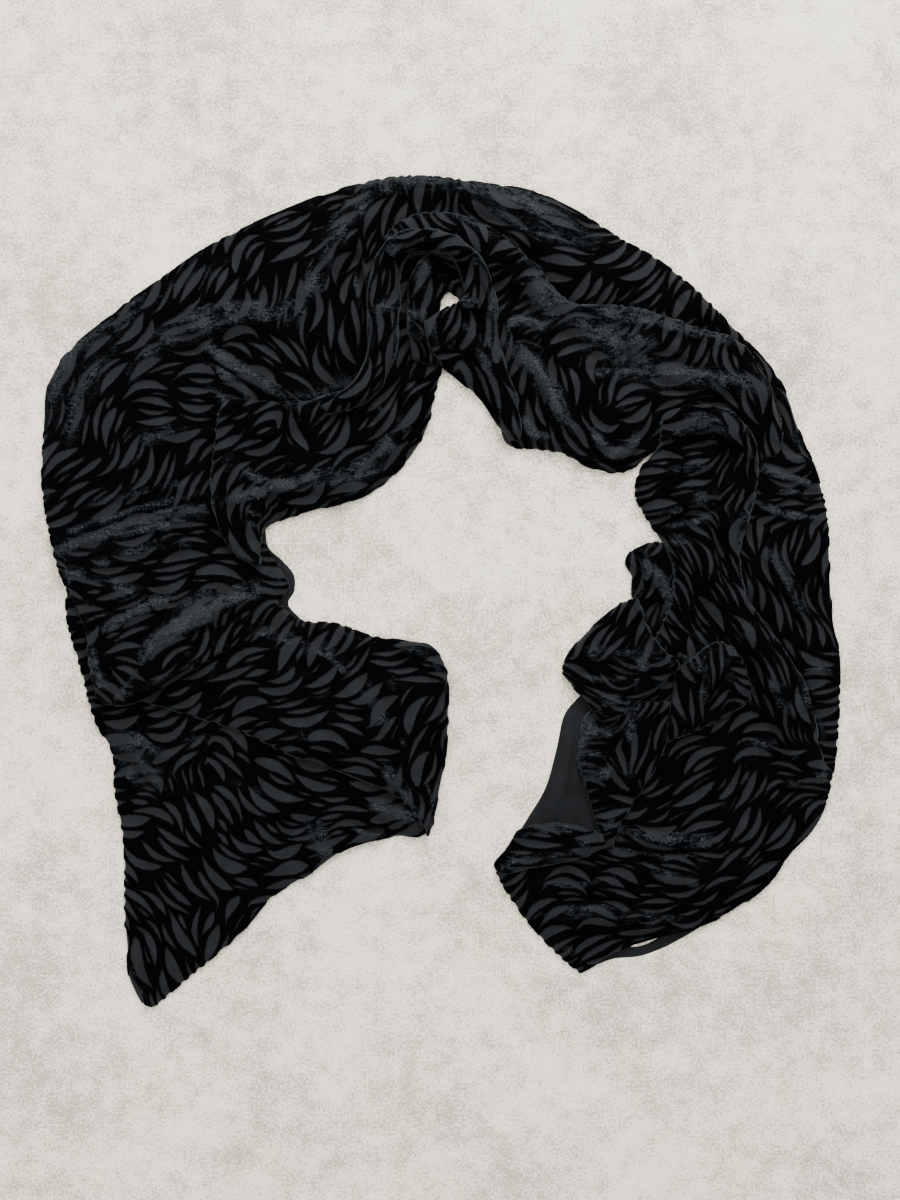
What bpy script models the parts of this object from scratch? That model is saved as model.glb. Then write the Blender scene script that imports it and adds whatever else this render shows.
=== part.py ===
"""A lined velvet scarf, dropped on a table in a horseshoe that is open towards the viewer.

Lengths are in millimetres until a mesh is made. Seen from above, X runs to the right and Y away
from the viewer. Each stretch of cloth that shows is a wall lofted through its cross sections and
laid over whatever lies below it, from the table upwards. What is hidden inside the heap is three
rounded cores with flat undersides.
"""

from collections import namedtuple

import bpy
import numpy as np

# Driving sizes
CLOTH = 2.2  # velvet and lining together
LINING = 1.2  # the lining alone, with its turned edge
SEAM_GAP = 0.3  # between two stretches of the same cloth
LAYER_GAP = 0.4  # between a layer and what it lies on
EDGE_BAND = 7.0  # width over which an edge turns down
MOST_STEEP = 1.8  # how much thicker, measured upright, a steep wall may be
SETTLE = 18.0  # distance from an edge over which cloth comes to bridge the steps below it
BRIDGE = 5  # reach of that bridging, in cells of the height map
BRIDGE_PASSES = 3

# How the grids are spaced
WIDEST_EDGE = 0.2  # most of a section's width that an edge band takes
EDGE_STEP = 0.35  # where in its edge band a section has its second place
ROUNDEST = 1.3  # an edge of a large radius turns over this many radii
CURVE_STEPS = 40  # points along the curve that a fold follows
FOLD_END = 0.03  # share of a fold's curve over which its ends stay faded
RIM_STEPS = 30  # points along a triangle's side that raise the height map
INSIDE = -1e-6  # a corner's share below this puts a cell outside a triangle

# The table's height map
CELL = 1.0
REACH = 350.0  # half the side of the mapped square

MM = 0.001
DARK_VELVET = (0.012, 0.013, 0.016, 1.0)
DARK_LINING = (0.030, 0.033, 0.042, 1.0)
VELVET_ROUGHNESS = 0.9
LINING_ROUGHNESS = 0.75

# A cross section of a stretch: its two edges, how high its middle rises, and how far the line
# between its edges bows towards the start of the stretch.
Section = namedtuple("Section", "a_x a_y b_x b_y rise bow", defaults=(0,))

# A fold follows a curve through three points. Its height is below zero where it is a trough.
Fold = namedtuple("Fold", "x0 y0 x1 y1 x2 y2 height half_width")

# A stretch of cloth: its edge radii, its grid, and the rows where it is cut into nodes.
Stretch = namedtuple(
    "Stretch",
    "names sections rows columns roll_a roll_b wall folds cuts bow_peak solid",
    defaults=(CLOTH, (), (), 0.5, False),
)

HIDDEN_LEFT = Stretch(
    names=["hidden_left"],
    sections=[
        Section(-258, -58, -172, -32, 3),
        Section(-272, -6, -134, 8, 4),
        Section(-288, 50, -151, 50, 4),
        Section(-296, 98, -164, 98, 4),
        Section(-292, 146, -152, 146, 4),
        Section(-264, 190, -112, 174, 4),
        Section(-216, 230, -80, 202, 4),
        Section(-152, 268, -64, 226, 4),
        Section(-90, 303, -48, 250, 3),
        Section(-44, 318, -36, 276, 2),
    ],
    rows=15,
    columns=7,
    roll_a=4,
    roll_b=4,
    solid=True,
)

HIDDEN_TOP = Stretch(
    names=["hidden_top"],
    sections=[
        Section(-34, 320, -28, 276, 2),
        Section(0, 321, 2, 272, 3),
        Section(40, 314, 34, 262, 4),
        Section(72, 296, 60, 210, 5),
        Section(104, 282, 72, 146, 5),
        Section(136, 264, 104, 130, 5),
        Section(166, 242, 144, 118, 5),
        Section(200, 214, 172, 134, 4),
        Section(225, 190, 200, 144, 3),
    ],
    rows=13,
    columns=7,
    roll_a=4,
    roll_b=4,
    solid=True,
)

HIDDEN_RIGHT = Stretch(
    names=["hidden_right"],
    sections=[
        Section(256, 154, 200, 122, 3),
        Section(276, 110, 180, 100, 5),
        Section(288, 62, 182, 66, 5),
        Section(292, 14, 200, 18, 5),
        Section(297, -30, 180, -26, 5),
        Section(300, -78, 160, -58, 5),
        Section(297, -118, 160, -102, 5),
        Section(292, -154, 153, -138, 5),
        Section(272, -190, 144, -174, 4),
        Section(236, -230, 120, -206, 4),
        Section(192, -256, 92, -220, 3),
        Section(144, -276, 84, -234, 2),
    ],
    rows=17,
    columns=7,
    roll_a=4,
    roll_b=4,
    solid=True,
)

LINING_LEFT = Stretch(
    names=["lining_left"],
    sections=[
        Section(-148, 58, -140, 50, 0),
        Section(-146, 38, -137, 35, 0),
        Section(-142, 27, -127, 26, 0),
        Section(-136, 14, -117, 13, 1),
        Section(-136, 3, -117, 1, 1),
        Section(-140, -8, -122, -9, 1),
        Section(-144, -18, -112, -21, 0),
        Section(-144, -27, -106, -28, 0),
    ],
    rows=14,
    columns=6,
    roll_a=0,
    roll_b=0,
    wall=LINING,
)

LEFT_END_LOWER = Stretch(
    names=["left_end_lower"],
    sections=[
        Section(-297, 16, -90, -50, 1),
        Section(-299, -14, -56, -86, 2),
        Section(-287, -62, -12, -150, 2),
        Section(-275, -104, -10, -192, 3),
        Section(-262, -128, -40, -195, 3),
        Section(-260, -158, -72, -203, 4),
        Section(-253, -198, -104, -224, 5),
        Section(-252, -230, -136, -244, 4),
        Section(-252, -258, -160, -272, 3),
        Section(-250, -286, -188, -296, 2),
        Section(-248, -308, -212, -316, 1),
        Section(-239, -328, -229, -331, 0),
    ],
    rows=23,
    columns=13,
    roll_a=0.5,
    roll_b=1.5,
    folds=[
        Fold(-256, -112, -232, -134, -216, -160, 5, 13),
        Fold(-200, -140, -150, -165, -90, -176, 4, 14),
        Fold(-98, -178, -92, -198, -94, -216, 4, 11),
        Fold(-60, -168, -36, -176, -14, -186, 4, 10),
        Fold(-236, -190, -210, -230, -206, -280, 3, 14),
        Fold(-170, -180, -160, -215, -170, -250, 3, 14),
    ],
)

LEFT_END_UPPER = Stretch(
    names=["left_end_upper"],
    sections=[
        Section(-256, -86, -192, -6, 2),
        Section(-232, -88, -136, -6, 3),
        Section(-200, -97, -112, -22, 4),
        Section(-156, -111, -84, -25, 4),
        Section(-120, -128, -55, -35, 4),
        Section(-84, -140, -28, -39, 4),
        Section(-52, -153, -7, -44, 3),
        Section(-31, -164, 4, -60, 3),
        Section(-20, -176, 6, -94, 2),
        Section(-12, -188, 2, -142, 1),
        Section(-10, -193, -4, -171, 0),
    ],
    rows=21,
    columns=10,
    roll_a=1.5,
    roll_b=2.5,
    folds=[
        Fold(-140, -60, -90, -80, -40, -78, 3, 16),
        Fold(-60, -50, -30, -90, -26, -150, 3, 13),
        Fold(-150, -90, -110, -112, -66, -128, 2.5, 10),
    ],
)

OUTER_BAND = Stretch(
    names=["outer_left", "outer_top", "outer_right"],
    sections=[
        Section(-275, -76, -152, -38, 2, 20),
        Section(-280, -50, -135, -16, 4, 9),
        Section(-282, -28, -126, -4, 5, 3),
        Section(-293, -4, -121, 6, 5),
        Section(-304, 16, -129, 21, 4),
        Section(-310, 38, -139, 36, 4),
        Section(-315, 62, -143, 54, 4),
        Section(-318, 94, -143, 82, 4),
        Section(-316, 134, -143, 114, 4),
        Section(-312, 166, -128, 128, 4),
        Section(-295, 194, -106, 140, 5),
        Section(-264, 220, -82, 148, 5),
        Section(-232, 244, -58, 160, 6),
        Section(-192, 272, -40, 176, 6),
        Section(-152, 293, -22, 197, 6),
        Section(-112, 310, -15, 222, 6),
        Section(-72, 324, -12, 242, 6),
        Section(-32, 331, -8, 256, 5),
        Section(-8, 331, 3, 261, 5),
        Section(32, 326, 24, 260, 5),
        Section(72, 320, 56, 246, 5),
        Section(108, 304, 84, 226, 5),
        Section(144, 282, 116, 206, 5),
        Section(176, 263, 148, 198, 4),
        Section(208, 237, 180, 192, 3),
        Section(236, 208, 212, 180, 3),
        Section(256, 188, 226, 158, 3),
        Section(272, 166, 224, 130, 3),
        Section(286, 130, 236, 98, 4),
        Section(300, 94, 236, 66, 4),
        Section(308, 62, 230, 34, 4),
        Section(310, 22, 228, 2, 4),
        Section(312, -14, 236, -26, 4),
        Section(317, -46, 252, -54, 4),
        Section(318, -86, 268, -86, 3),
        Section(316, -118, 274, -118, 2),
        Section(313, -144, 276, -154, 1),
    ],
    rows=74,
    columns=11,
    roll_a=3,
    roll_b=1.5,
    cuts=(0.47, 0.71),
    bow_peak=0.2,
    folds=[
        Fold(-32, 324, -76, 282, -112, 214, 7, 22),
        Fold(-112, 214, -184, 212, -244, 178, 6, 18),
        Fold(-192, 198, -156, 174, -124, 156, 4, 10),
        Fold(-188, 178, -166, 168, -150, 150, 3, 10),
        Fold(-296, 190, -300, 150, -296, 90, 4, 16),
        Fold(-240, 110, -220, 130, -190, 120, 3, 14),
        Fold(-312, 28, -240, 56, -182, 68, 4, 9),
        Fold(-300, 56, -240, 76, -186, 84, 3, 8),
        Fold(-290, 10, -230, 34, -170, 36, 3, 10),
        Fold(-232, -50, -192, -22, -140, 2, 7, 14),
        Fold(-280, -24, -230, -4, -204, -18, -3, 9),
        Fold(-36, 322, 32, 312, 120, 274, 5, 16),
        Fold(40, 300, 90, 270, 130, 240, 3, 14),
        Fold(256, 42, 276, 6, 300, -38, 4, 11),
        Fold(262, 100, 280, 60, 286, 20, 3, 10),
        Fold(286, -40, 298, -80, 296, -120, 3, 10),
    ],
)

LINING_RIGHT = Stretch(
    names=["lining_right"],
    sections=[
        Section(112, -82, 136, -86, 1),
        Section(100, -96, 136, -106, 1),
        Section(93, -124, 132, -130, 2),
        Section(84, -156, 132, -158, 2),
        Section(70, -180, 132, -186, 1),
        Section(60, -196, 128, -202, 1),
    ],
    rows=14,
    columns=7,
    roll_a=0.5,
    roll_b=0.5,
    wall=LINING,
    folds=[Fold(104, -100, 100, -140, 88, -180, 2, 9)],
)

LINING_END = Stretch(
    names=["lining_end"],
    sections=[
        Section(124, -298, 130, -288, 0),
        Section(138, -293, 142, -284, 0),
        Section(158, -291, 159, -283, 0),
        Section(176, -285, 173, -277, 0),
        Section(192, -277, 188, -266, 0),
        Section(204, -270, 201, -263, 0),
    ],
    rows=10,
    columns=5,
    roll_a=0,
    roll_b=0,
    wall=LINING,
)

RIGHT_RUFFLE = Stretch(
    names=["right_ruffle"],
    sections=[
        Section(200, 38, 168, 40, 1),
        Section(201, 26, 148, 28, 3),
        Section(201, 10, 153, 13, 4),
        Section(201, -10, 154, -6, 4),
        Section(204, -34, 164, -26, 3),
        Section(208, -54, 176, -48, 1),
    ],
    rows=12,
    columns=8,
    roll_a=0.5,
    roll_b=2.5,
    folds=[Fold(150, 24, 176, 4, 182, -30, 4, 10)],
)

LEFT_LOBE = Stretch(
    names=["left_lobe"],
    sections=[
        Section(-48, 224, -14, 218, 1),
        Section(-52, 198, 0, 184, 2),
        Section(-68, 166, -5, 158, 4),
        Section(-96, 154, -11, 132, 5),
        Section(-124, 150, -28, 104, 5),
        Section(-152, 152, -60, 78, 5),
        Section(-173, 148, -104, 65, 5),
        Section(-179, 114, -130, 57, 4),
        Section(-181, 78, -140, 50, 3),
        Section(-175, 50, -143, 38, 2),
        Section(-160, 28, -143, 21, 1),
    ],
    rows=24,
    columns=11,
    roll_a=2.5,
    roll_b=3,
    folds=[
        Fold(-52, 178, -92, 160, -132, 140, 4, 13),
        Fold(-24, 168, -30, 130, -70, 92, 4, 13),
        Fold(-150, 130, -120, 110, -100, 84, 3, 12),
        Fold(-168, 110, -164, 80, -156, 54, 3, 10),
        Fold(-170, 70, -130, 82, -88, 96, 3, 9),
    ],
)

TOP_FOLD = Stretch(
    names=["top_fold", "right_shoulder"],
    sections=[
        Section(-44, 280, -39, 264, 1),
        Section(-32, 292, -28, 274, 2),
        Section(-8, 300, -4, 272, 3),
        Section(16, 297, 20, 264, 4),
        Section(40, 287, 38, 236, 5),
        Section(60, 272, 38, 196, 5),
        Section(80, 254, 46, 154, 5),
        Section(94, 236, 54, 118, 5),
        Section(108, 228, 76, 115, 5),
        Section(128, 227, 96, 112, 5),
        Section(156, 225, 120, 100, 5),
        Section(180, 218, 144, 96, 5),
        Section(208, 208, 164, 108, 4),
        Section(236, 199, 180, 122, 4),
        Section(249, 184, 200, 130, 3),
        Section(264, 154, 220, 130, 3),
        Section(270, 130, 236, 118, 2),
        Section(268, 110, 248, 102, 1),
    ],
    rows=38,
    columns=11,
    roll_a=2.5,
    roll_b=3,
    cuts=(0.62,),
    folds=[
        Fold(56, 194, 80, 170, 104, 130, 5, 12),
        Fold(60, 262, 78, 232, 84, 196, 4, 12),
        Fold(120, 134, 140, 112, 160, 134, 4, 9),
        Fold(66, 150, 72, 128, 88, 124, 3, 9),
        Fold(168, 182, 200, 168, 248, 160, 5, 14),
        Fold(108, 206, 140, 196, 176, 192, 4, 16),
    ],
)

ARCH_CORE = Stretch(
    names=["arch_inner"],
    sections=[
        Section(31, 227, 18, 229, 1),
        Section(26, 248, 14, 235, 2),
        Section(17, 266, 8, 240, 3),
        Section(4, 272, 3, 239, 3),
        Section(-12, 265, 0, 233, 3),
        Section(-23, 252, -2, 223, 3),
        Section(-25, 230, -5, 210, 2),
        Section(-25, 206, -6, 194, 1),
        Section(-22, 184, -2, 181, 1),
    ],
    rows=18,
    columns=7,
    roll_a=2.5,
    roll_b=2,
)

ARCH = Stretch(
    names=["neck_fold", "arch_fold"],
    sections=[
        Section(-94, 146, -88, 141, 0),
        Section(-76, 160, -62, 148, 2),
        Section(-63, 175, -45, 165, 3),
        Section(-57, 191, -36, 187, 4),
        Section(-57, 212, -33, 210, 4),
        Section(-57, 234, -32, 234, 4),
        Section(-55, 254, -32, 252, 4),
        Section(-47, 270, -29, 261, 3),
        Section(-32, 281, -22, 267, 3),
        Section(-8, 284, -6, 268, 3),
        Section(12, 279, 9, 264, 2),
        Section(27, 268, 17, 250, 2),
        Section(38, 250, 18, 231, 3),
        Section(44, 230, 1, 225, 4),
        Section(45, 210, -12, 210, 4),
        Section(48, 192, -5, 188, 4),
        Section(53, 175, 17, 168, 4),
        Section(60, 157, 33, 154, 3),
        Section(62, 144, 46, 134, 2),
        Section(64, 122, 55, 120, 1),
    ],
    rows=42,
    columns=8,
    roll_a=2.5,
    roll_b=2.5,
    cuts=(0.41,),
    folds=[Fold(20, 216, 30, 192, 44, 158, 3, 9)],
)

RIGHT_FALL = Stretch(
    names=["right_swirl", "right_panel"],
    sections=[
        Section(212, 149, 200, 148, 1),
        Section(233, 138, 177, 141, 3),
        Section(248, 116, 173, 116, 5),
        Section(251, 100, 160, 98, 6),
        Section(249, 78, 156, 78, 6),
        Section(244, 58, 164, 61, 5),
        Section(238, 36, 177, 40, 5),
        Section(238, 14, 185, 18, 5),
        Section(244, -6, 182, -6, 5),
        Section(262, -32, 172, -34, 5),
        Section(278, -54, 158, -62, 5),
        Section(290, -78, 150, -86, 5),
        Section(297, -106, 148, -108, 4),
        Section(302, -130, 148, -128, 4),
        Section(311, -146, 148, -146, 4),
        Section(308, -166, 148, -166, 4),
        Section(296, -190, 132, -186, 4),
        Section(279, -208, 120, -196, 4),
        Section(260, -234, 104, -202, 4),
        Section(236, -252, 88, -206, 4),
        Section(208, -266, 72, -210, 3),
        Section(174, -274, 57, -215, 2),
        Section(146, -284, 52, -219, 1),
        Section(112, -304, 45, -224, 0, -6),
    ],
    rows=40,
    columns=12,
    roll_a=2.5,
    roll_b=2,
    cuts=(0.50,),
    folds=[
        Fold(184, 122, 208, 134, 228, 112, 4, 10),
        Fold(176, 96, 206, 100, 216, 118, 4, 10),
        Fold(200, 90, 208, 42, 224, -22, 6, 12),
        Fold(230, 96, 228, 60, 226, 30, 4, 10),
        Fold(166, 62, 204, 74, 238, 96, 3, 9),
        Fold(188, -58, 216, -74, 244, -84, -3, 9),
        Fold(240, -20, 262, -66, 278, -110, 4, 13),
        Fold(200, -120, 220, -150, 216, -190, 3, 16),
        Fold(120, -190, 180, -197, 216, -198, 4, 10),
        Fold(148, -212, 184, -227, 208, -227, 3, 10),
        Fold(84, -258, 136, -257, 192, -268, 4, 12),
    ],
)

RIGHT_FRILL = Stretch(
    names=["right_frill"],
    sections=[
        Section(130, -89, 185, -86, 2),
        Section(116, -98, 184, -104, 3),
        Section(111, -116, 178, -120, 3),
        Section(109, -134, 172, -136, 3),
        Section(115, -152, 164, -150, 3),
        Section(120, -170, 152, -168, 2),
        Section(126, -190, 140, -189, 1),
        Section(128, -202, 136, -203, 0),
    ],
    rows=18,
    columns=8,
    roll_a=1.5,
    roll_b=1,
    folds=[
        Fold(114, -108, 130, -112, 150, -110, 3, 9),
        Fold(112, -140, 126, -144, 142, -140, 2.5, 9),
    ],
)

RIGHT_END_FLAP = Stretch(
    names=["right_end_flap"],
    sections=[
        Section(47, -225, 43, -217, 0),
        Section(60, -221, 54, -204, 1),
        Section(84, -216, 65, -188, 2),
        Section(104, -212, 87, -184, 3),
        Section(120, -207, 112, -187, 2),
        Section(131, -201, 128, -191, 1),
    ],
    rows=16,
    columns=7,
    roll_a=1.5,
    roll_b=2.5,
)

RIGHT_LOBE = Stretch(
    names=["right_lobe"],
    sections=[
        Section(157, -5, 145, -8, 1),
        Section(164, -26, 128, -22, 3),
        Section(176, -46, 113, -36, 4),
        Section(188, -57, 102, -50, 4),
        Section(172, -75, 98, -64, 4),
        Section(152, -90, 105, -74, 3),
        Section(132, -108, 116, -86, 1),
    ],
    rows=16,
    columns=9,
    roll_a=2,
    roll_b=3,
    folds=[Fold(112, -46, 140, -52, 170, -58, 4, 10)],
)

RIGHT_POCKET = Stretch(
    names=["right_pocket"],
    sections=[
        Section(178, -118, 187, -60, 1),
        Section(196, -112, 200, -50, 3),
        Section(212, -105, 212, -42, 3),
        Section(228, -97, 224, -40, 3),
        Section(240, -89, 236, -50, 2),
        Section(246, -84, 243, -68, 0),
    ],
    rows=12,
    columns=9,
    roll_a=2,
    roll_b=2,
    folds=[Fold(200, -100, 206, -76, 204, -56, 3, 9)],
)

# From the table upwards
LAYERS = [
    HIDDEN_LEFT,
    HIDDEN_TOP,
    HIDDEN_RIGHT,
    LINING_LEFT,
    LINING_END,
    LEFT_END_LOWER,
    LEFT_END_UPPER,
    OUTER_BAND,
    LINING_RIGHT,
    RIGHT_RUFFLE,
    LEFT_LOBE,
    TOP_FOLD,
    ARCH_CORE,
    ARCH,
    RIGHT_FALL,
    RIGHT_FRILL,
    RIGHT_END_FLAP,
    RIGHT_LOBE,
    RIGHT_POCKET,
]


def smooth_curve(knots, values, at):
    """A cubic curve through the values at the knots, with slopes from their neighbours."""
    step = np.diff(knots)[:, None]
    rate = np.diff(values, axis=0) / step
    slope = np.empty_like(values)
    slope[0] = rate[0]
    slope[-1] = rate[-1]
    slope[1:-1] = (rate[:-1] * step[1:] + rate[1:] * step[:-1]) / (step[1:] + step[:-1])
    i = np.clip(np.searchsorted(knots, at, side="right") - 1, 0, len(knots) - 2)
    h = step[i]
    u = (at - knots[i])[:, None] / h
    return (
        values[i] * (1 + 2 * u) * (1 - u) ** 2
        + slope[i] * h * u * (1 - u) ** 2
        + values[i + 1] * u**2 * (3 - 2 * u)
        - slope[i + 1] * h * u**2 * (1 - u)
    )


def even_sections(stretch):
    """Sections evenly spaced along the stretch, and how far along each one is."""
    table = np.array(stretch.sections, float)
    edge_a = np.linalg.norm(np.diff(table[:, 0:2], axis=0), axis=1)
    edge_b = np.linalg.norm(np.diff(table[:, 2:4], axis=0), axis=1)
    knots = np.concatenate([[0], np.cumsum((edge_a + edge_b) / 2)])
    along = np.linspace(0, knots[-1], stretch.rows)
    return smooth_curve(knots, table, along), along


def plan_of(stretch):
    """The grid's places seen from above, and each one's distance from the four edges."""
    rows, along = even_sections(stretch)
    a, b = rows[:, None, 0:2], rows[:, None, 2:4]
    rise, bow = rows[:, 4:5], rows[:, 5:6]
    width = np.linalg.norm(b - a, axis=2)
    edge = np.minimum(EDGE_BAND / width, WIDEST_EDGE)
    t = np.empty((stretch.rows, stretch.columns))
    t[:, 0], t[:, -1] = 0, 1
    t[:, 1:2], t[:, -2:-1] = EDGE_STEP * edge, 1 - EDGE_STEP * edge
    t[:, 2:-2] = edge + (1 - 2 * edge) * np.linspace(0, 1, stretch.columns - 4)
    peak = stretch.bow_peak
    bulge = (t / peak) ** (2 * peak) * ((1 - t) / (1 - peak)) ** (2 - 2 * peak)
    across = (b - a) / width[:, :, None]
    back = np.concatenate([across[:, :, 1:2], -across[:, :, 0:1]], axis=2)
    turn = np.sign(np.sum(back[0, 0] * (rows[1, 0:2] - rows[0, 0:2])))
    place = a + (b - a) * t[:, :, None] - turn * back * (bow * bulge)[:, :, None]
    to_end = np.minimum(along, along[-1] - along)[:, None] + 0 * t
    return place, t, t * width, (1 - t) * width, to_end, rise


def turned(distance, radius):
    """How far an edge of this radius has turned up to flat, from 0 at the edge to 1."""
    reach = np.clip(distance / max(EDGE_BAND, ROUNDEST * radius), 0, 1)
    return np.sqrt(1 - (1 - reach) ** 2)


def folded(place, fold):
    """The height that one fold adds at each place."""
    u = np.linspace(0, 1, CURVE_STEPS)[:, None]
    start, middle, end = np.array(fold[0:6]).reshape(3, 2)
    pull = 2 * middle - (start + end) / 2
    curve = start * (1 - u) ** 2 + pull * 2 * u * (1 - u) + end * u**2
    distance = np.linalg.norm(place[:, :, None, :] - curve, axis=3)
    nearest = distance.argmin(axis=2)
    off = np.clip(distance.min(axis=2) / fold.half_width, 0, 1)
    fade = np.sqrt(np.sin(np.pi * np.clip(u[nearest, 0], FOLD_END, 1 - FOLD_END)))
    return fold.height * fade * (1 - off**2) ** 2


def triangles_of(rows, columns):
    """The grid's triangles, counted row by row and facing up or down as the grid runs."""
    i, j = np.meshgrid(np.arange(rows - 1), np.arange(columns - 1), indexing="ij")
    corner = (i * columns + j).ravel()
    right, below, far = corner + 1, corner + columns, corner + columns + 1
    return np.concatenate([np.stack([corner, below, far], 1), np.stack([corner, far, right], 1)])


class HeightMap:
    """The highest point so far over each cell of the table."""

    def __init__(self):
        side = round(2 * REACH / CELL)
        self.z = np.zeros((side, side))

    def cover(self, place, triangles):
        """The cells whose centre each triangle covers: cell, triangle and the corners' shares."""
        at = (place + REACH) / CELL - 0.5
        cells, owners, shares = [], [], []
        for number, corners in enumerate(triangles):
            p = at[corners]
            low = np.ceil(p.min(axis=0)).astype(int)
            high = np.floor(p.max(axis=0)).astype(int) + 1
            x, y = np.meshgrid(np.arange(low[0], high[0]), np.arange(low[1], high[1]))
            spot = np.stack([x.ravel(), y.ravel()], 1)
            d1, d2 = p[1] - p[0], p[2] - p[0]
            area = d1[0] * d2[1] - d1[1] * d2[0]
            off = spot - p[0]
            s1 = (off[:, 0] * d2[1] - off[:, 1] * d2[0]) / area
            s2 = (d1[0] * off[:, 1] - d1[1] * off[:, 0]) / area
            share = np.stack([1 - s1 - s2, s1, s2], 1)
            inside = share.min(axis=1) >= INSIDE
            cells.append(spot[inside])
            owners.append(np.full(inside.sum(), number))
            shares.append(share[inside])
        return np.concatenate(cells), np.concatenate(owners), np.concatenate(shares)

    def add(self, place, height, triangles, covered):
        """Raises the map to the triangles, along their edges too."""
        cells, owners, shares = covered
        inner = (height[triangles[owners]] * shares).sum(axis=1)
        np.maximum.at(self.z, (cells[:, 0], cells[:, 1]), inner)
        for k in range(3):
            p, q = triangles[:, k], triangles[:, (k + 1) % 3]
            for u in np.linspace(0, 1, RIM_STEPS):
                spot = place[p] * (1 - u) + place[q] * u
                x, y = ((spot + REACH) / CELL).astype(int).T
                np.maximum.at(self.z, (x, y), height[p] * (1 - u) + height[q] * u)

    def reached(self):
        """The map with each cell raised to its highest neighbour."""
        z = self.z.copy()
        for axis in (0, 1):
            z = np.maximum(z, np.maximum(np.roll(z, 1, axis), np.roll(z, -1, axis)))
        return z


def softened(z):
    """The map with its steps spread, as cloth bridges them."""
    for _ in range(BRIDGE_PASSES):
        for axis in (0, 1):
            z = sum(np.roll(z, k, axis) for k in range(-BRIDGE, BRIDGE + 1)) / (2 * BRIDGE + 1)
    return z


def sampled(z, place):
    x, y = ((place + REACH) / CELL).astype(int).T
    return z[x, y]


def lifted(stretch, grid):
    """How far the wall stands clear of what it lies on: its edges turned down, its folds up."""
    place, t, to_a, to_b, to_end, rise = grid
    level = stretch.roll_a * (1 - t) + stretch.roll_b * t + rise * 4 * t * (1 - t)
    level = level + sum(folded(place, fold) for fold in stretch.folds)
    level *= turned(to_a, stretch.roll_a) * turned(to_b, stretch.roll_b)
    return np.maximum(level * turned(to_end, 1), 0)


def settled(grid, lift, table, covered, triangles):
    """The wall's underside: on the map or the table, raised by its lift, crossing nothing."""
    place, to_a, to_b, to_end = grid[0], grid[2], grid[3], grid[4]
    flat = place.reshape(-1, 2)
    under = table.reached()
    clear = np.where(under > 0, under + LAYER_GAP, 0)
    near = np.minimum(np.minimum(to_a, to_b), to_end).ravel()
    bridging = np.clip(near / SETTLE, 0, 1)
    base = sampled(clear, flat) * (1 - bridging) + sampled(softened(clear), flat) * bridging
    bottom = base + lift.ravel()
    cells, owners, shares = covered
    short = clear[cells[:, 0], cells[:, 1]] - (bottom[triangles[owners]] * shares).sum(axis=1)
    push = np.maximum(short, 0)[:, None] * shares / (shares**2).sum(axis=1)[:, None]
    need = np.zeros(len(bottom))
    np.maximum.at(need, triangles[owners].ravel(), push.ravel())
    return bottom + need


def upright_wall(place, bottom, wall):
    """The wall's height measured upright, more where it is steep."""
    points = np.dstack([place, bottom.reshape(place.shape[:2])])
    normal = np.cross(np.gradient(points, axis=0), np.gradient(points, axis=1))
    facing_up = np.abs(normal[:, :, 2]) / np.linalg.norm(normal, axis=2)
    return wall * np.minimum(1 / facing_up, MOST_STEEP).ravel()


def wall_mesh(name, lower, upper):
    """A closed wall between two grids of the same shape."""
    rows, columns = lower.shape[:2]
    count = rows * columns
    sheet = triangles_of(rows, columns)
    number = np.arange(count).reshape(rows, columns)
    rim = np.concatenate([number[:, 0], number[-1, 1:], number[-2::-1, -1], number[0, -2::-1]])
    start, end = rim[:-1], rim[1:]
    sides = np.concatenate(
        [np.stack([start, start + count, end + count], 1), np.stack([start, end + count, end], 1)]
    )
    points = np.concatenate([lower.reshape(-1, 3), upper.reshape(-1, 3)])
    faces = np.concatenate([sheet[:, ::-1], sheet + count, sides[:, ::-1]])
    up = np.cross(lower[1, 0] - lower[0, 0], lower[0, 1] - lower[0, 0])[2]
    if up < 0:
        faces = faces[:, ::-1]
    middle = (points.min(axis=0) + points.max(axis=0)) / 2
    middle[2] = 0
    mesh = bpy.data.meshes.new(name)
    mesh.from_pydata(((points - middle) * MM).tolist(), [], faces.tolist())
    mesh.update()
    return mesh, middle * MM


def cloth_material(name, colour, roughness):
    material = bpy.data.materials.new(name)
    material.use_nodes = True
    shader = material.node_tree.nodes["Principled BSDF"]
    shader.inputs["Base Color"].default_value = colour
    shader.inputs["Roughness"].default_value = roughness
    shader.inputs["Metallic"].default_value = 0.0
    return material


def place_object(name, lower, upper, lining, root):
    mesh, location = wall_mesh(name, lower, upper)
    colour = DARK_LINING if lining else DARK_VELVET
    roughness = LINING_ROUGHNESS if lining else VELVET_ROUGHNESS
    mesh.materials.append(cloth_material(name, colour, roughness))
    piece = bpy.data.objects.new(name, mesh)
    piece.location = location
    piece.parent = root
    bpy.data.collections[root.name].objects.link(piece)


def cut_rows(stretch):
    """The first and last row of each node of the stretch."""
    ends = [0, *(round(cut * (stretch.rows - 1)) for cut in stretch.cuts), stretch.rows - 1]
    return list(zip(ends[:-1], ends[1:]))


def trimmed(grid, first, last):
    """Rows first to last, with half a seam gap taken off each end that was cut."""
    part = grid[first : last + 1].copy()
    for end, inner, was_cut in ((0, 1, first > 0), (-1, -2, last < len(grid) - 1)):
        if was_cut:
            step = np.linalg.norm(part[inner] - part[end], axis=1)[:, None]
            part[end] += (part[inner] - part[end]) * SEAM_GAP / 2 / step
    return part


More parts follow.
